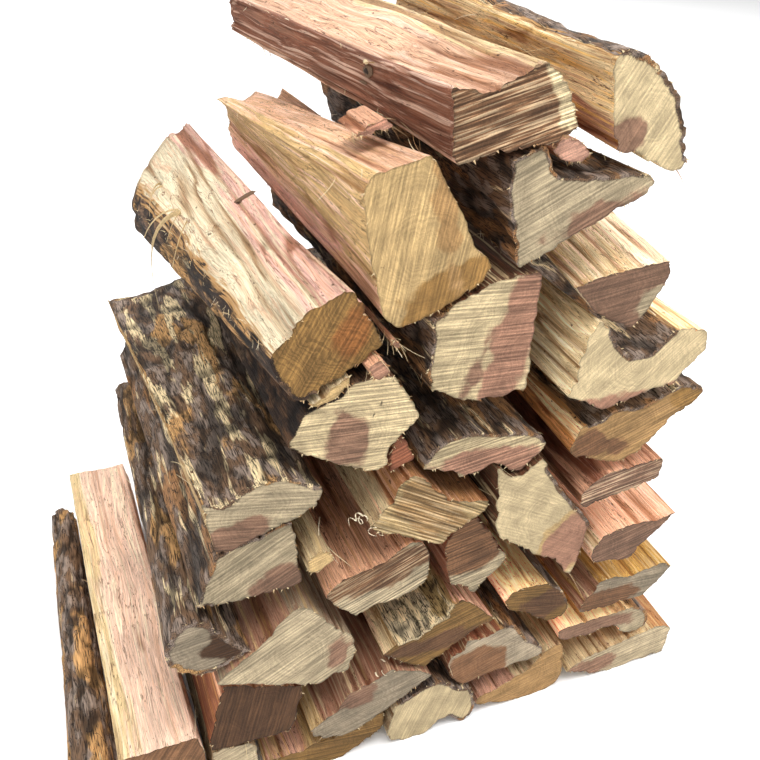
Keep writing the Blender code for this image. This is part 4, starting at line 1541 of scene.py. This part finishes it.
def seventh_row() -> list[Log]:
    """The three logs of the seventh row."""
    return [
        Log("log_seventh_1", Slot.CREAM,
            SawnEnd(T.GOLD, (Zone(190, 272, 11, 22, T.RUSSET, -20, soft=4.0),), saw=60, pith=(215, 235),
                ring=0.7, light=0.74),
            SplitSide(T.PALE, (Zone(188, 246, 32, 14, T.PETAL), Zone(200, 262, 20, 14, T.PETAL)), T.PALE,
                1.2, T.SALMON, 0.86),
            Bark((166, 313), (134, 280), BarkKind.FLAKY, 2.5, T.BARK_DARK, T.BARK_BROWN, T.BARK_OCHRE, 0.0),
            fray=Fray(edge=110, scraps=(Scrap(174, 246, 190, 3.6, 10, 0.9),
                Scrap(166, 249, 150, 1.2, 2.2, 0.6)), splinters=(
                Splinter(139, 274, 262, (-0.7, -0.1, -0.1), (0.06, 0.0, -0.4), 104, 5.0),
                Splinter(139, 274, 266, (-0.9, 0.0, 0.0), (0.02, 0.0, -0.3), 88, 1.8),
                Splinter(139, 274, 256, (-0.7, -0.2, 0.0), (0.09, 0.0, -0.4), 112, 1.4),
                Splinter(139, 274, 345, (-0.5, -0.8, 0.3), (0.0, 0.0, -0.1), 30, 2.4),
                Splinter(139, 274, 335, (-0.7, -0.6, 0.1), (0.05, 0.0, -0.14), 38, 1.6),
                Splinter(139, 274, 240, (-0.4, -0.9, 0.0), (0.0, 0.0, -0.05), 64, 2.2),
                Splinter(139, 274, 262, (-0.5, -0.9, 0.1), (0.0, 0.0, -0.07), 44, 1.6),
                Splinter(146, 267, 190, (-0.3, -0.9, 0.2), (0.0, 0.0, -0.06), 38, 1.8)))),
        Log("log_seventh_2", Slot.GOLDEN,
            SawnEnd(T.STRAW, (Zone(268, 262, 46, 30, T.GOLD, 20), Zone(256, 200, 8, 60, T.TAN, 10)), saw=80,
                stripe=0.5, light=0.85),
            SplitSide(T.PEACH, (Zone(194, 205, 14, 56, T.STRAW), Zone(206, 262, 12, 22, T.PETAL, near=90)),
                T.BLUSH, 0.6, T.TAN, 1.22),
            fray=Fray(corner=30)),
        Log("log_seventh_3", Slot.GREY,
            SawnEnd(T.GREYED, (Zone(375, 214, 34, 12, T.DUSKY, 18),), saw=25, light=0.8),
            SplitSide(T.UMBER), Bark((315, 243), (415, 185), BarkKind.FLAKY, 2.5)),
    ]


def top_row() -> list[Log]:
    """The two logs on top."""
    return [
        Log("log_top_left", Slot.PINK,
            SawnEnd(T.HEART, (Zone(334, 130, 6, 30, T.CREAM, 25),), saw=15, stripe=1.3, light=1.05),
            SplitSide(T.PEACH, (Zone(251, 140, 12, 26, T.REDDISH), Zone(320, 104, 16, 8, T.BUTTER)), T.BLUSH,
                1.4, T.ROSE, 0.88),
            fray=Fray(corner=40, scraps=(
                Scrap(251, 130, 118, 8, 4.2, 0.9, -1.2), Scrap(251, 130, 118, 4.6, 2.4, 1.5, -2.0),
                Scrap(251, 125, 114, 3, 1.6, 1.4, 0.7),
                Scrap(251, 140, 122, 6, 1.2, 0.9, -0.9)))),
        Log("log_top_right", Slot.CREAM,
            SawnEnd(T.CREAM, (Zone(388, 158, 16, 16, T.DUSKY, -20),), saw=60, stripe=0.4, light=0.87),
            SplitSide(T.CREAM, (Zone(380, 160, 12, 16, T.ROSE),), T.YELLOW, light=1.45),
            Bark((372, 101), (447, 180), BarkKind.FURROWED, 3.5)),
    ]


def loose_pieces() -> list[Log]:
    """The sticks and chips in the gaps."""
    fine = {"spacing": 1.6, "stretch": 5.0}
    return [
        Log("kindling_pink", Slot.PINK, SawnEnd(T.PINK), SplitSide(T.SALMON, (), T.CREAM), **fine),
        Log("kindling_red", Slot.PINK, SawnEnd(T.REDDISH), SplitSide(T.REDDISH, (), T.ORANGE), **fine),
        Log("chip_wedge", Slot.CREAM, SawnEnd(T.STRAW), SplitSide(T.CREAM, (), T.STRAW), **fine),
        Log("chip_sliver", Slot.CREAM, SawnEnd(T.STRAW), SplitSide(T.CREAM, (), T.PALE), **fine),
        Log("chip_block", Slot.PINK, SawnEnd(T.ROSE), SplitSide(T.SALMON, (), T.PINK), **fine),
        Log("chip_small", Slot.PINK, SawnEnd(T.ROSE), SplitSide(T.SALMON, (), T.PINK), **fine),
        Log("chip_on_log", Slot.PINK, SawnEnd(T.PINK), SplitSide(T.SALMON, (), T.PINK), **fine),
    ]


ROWS = (
    bottom_row, second_row, third_row, fourth_row, fifth_row, sixth_row, seventh_row, top_row, loose_pieces,
)


# Studio


FLOOR_SIZE = 9.0
FLOOR_TONES = ((0.93, 0.93, 0.93, 1.0), (0.96, 0.96, 0.96, 1.0))
FLOOR_ROUGH = 0.7
AIM = Vector((0.0, 0.0, 0.3))  # what the lamps point at
ROOM_LIGHT = 0.72
SENSOR = 36.0  # mm
CLIP_START = 0.01


@dataclass(frozen=True)
class Lamp:
    """A square soft light: its place and side in metres, and its power in watts."""

    name: str
    place: Place
    size: float
    power: float

    def hang(self) -> None:
        """Put the lamp in the scene."""
        light = bpy.data.lights.new(self.name, "AREA")
        light.size = self.size
        light.energy = self.power
        item = bpy.data.objects.new(self.name, light)
        item.location = self.place
        item.rotation_euler = (AIM - Vector(self.place)).to_track_quat("-Z", "Y").to_euler()
        bpy.context.scene.collection.objects.link(item)


@dataclass
class Studio:
    """The floor, the lights and the camera."""

    picture: float = 760.0  # side of the picture, px
    focal: float = 870.4  # px
    place: Place = (-0.27685, -0.67966, 0.727)
    pitch: float = 30.9  # degrees down
    turn: float = 23.84  # degrees to the right
    roll: float = 2.62
    lamps: tuple[Lamp, ...] = (
        Lamp("key", (-0.2, -0.6, 2.7), 1.8, 68.0),
        Lamp("right", (2.0, -1.0, 2.0), 1.7, 38.0),
        Lamp("fill", (-1.9, -1.7, 1.5), 1.8, 16.0),
        Lamp("back", (1.3, 4.2, 3.0), 3.5, 150.0),
    )

    def floor(self) -> None:
        """A plain pale floor."""
        mesh = bmesh.new()
        bmesh.ops.create_grid(mesh, x_segments=1, y_segments=1, size=FLOOR_SIZE)
        item = link("floor", mesh)
        graph = Graph("floor")
        speck = graph.noise(graph.nodes.new("ShaderNodeTexCoord").outputs["Object"], Pattern.FLOOR)
        item.data.materials.append(graph.finish(graph.mix(speck, *FLOOR_TONES), speck, 0.0, FLOOR_ROUGH))

    def lights(self) -> None:
        """Broad soft lights overhead, behind and from the right, a weak one from the left, and a dim room."""
        for lamp in self.lamps:
            lamp.hang()
        world = bpy.data.worlds.new("room")
        world.use_nodes = True
        room = world.node_tree.nodes["Background"]
        room.inputs["Color"].default_value = (1.0, 1.0, 1.0, 1.0)
        room.inputs["Strength"].default_value = ROOM_LIGHT
        bpy.context.scene.world = world
        bpy.context.scene.view_settings.view_transform = "Standard"

    def camera(self) -> None:
        """The camera at the photograph's viewpoint."""
        pitch, turn, roll = (math.radians(v) for v in (self.pitch, self.turn, self.roll))
        ahead = Vector((math.sin(turn) * math.cos(pitch), math.cos(turn) * math.cos(pitch), -math.sin(pitch)))
        right = Vector((math.cos(turn), -math.sin(turn), 0.0))
        above = right.cross(ahead)
        across = right * math.cos(roll) + above * math.sin(roll)
        upward = above * math.cos(roll) - right * math.sin(roll)
        data = bpy.data.cameras.new("camera")
        data.sensor_width = SENSOR
        data.lens = self.focal / self.picture * SENSOR
        data.clip_start = CLIP_START
        item = bpy.data.objects.new("camera", data)
        matrix = Matrix((across, upward, -ahead)).transposed().to_4x4()
        matrix.translation = self.place
        item.matrix_world = matrix
        bpy.context.scene.collection.objects.link(item)
        bpy.context.scene.camera = item

    def make(self) -> None:
        """Set up the whole studio."""
        self.floor()
        self.lights()
        self.camera()


def main() -> None:
    """Load the frame, build every piece and set up the studio."""
    logging.basicConfig(level=logging.INFO, format="%(message)s")
    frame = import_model()
    Stack([piece for row in ROWS for piece in row()]).make(frame["nodes"])
    Studio().make()
    bpy.context.view_layer.update()


if __name__ == "__main__":
    main()
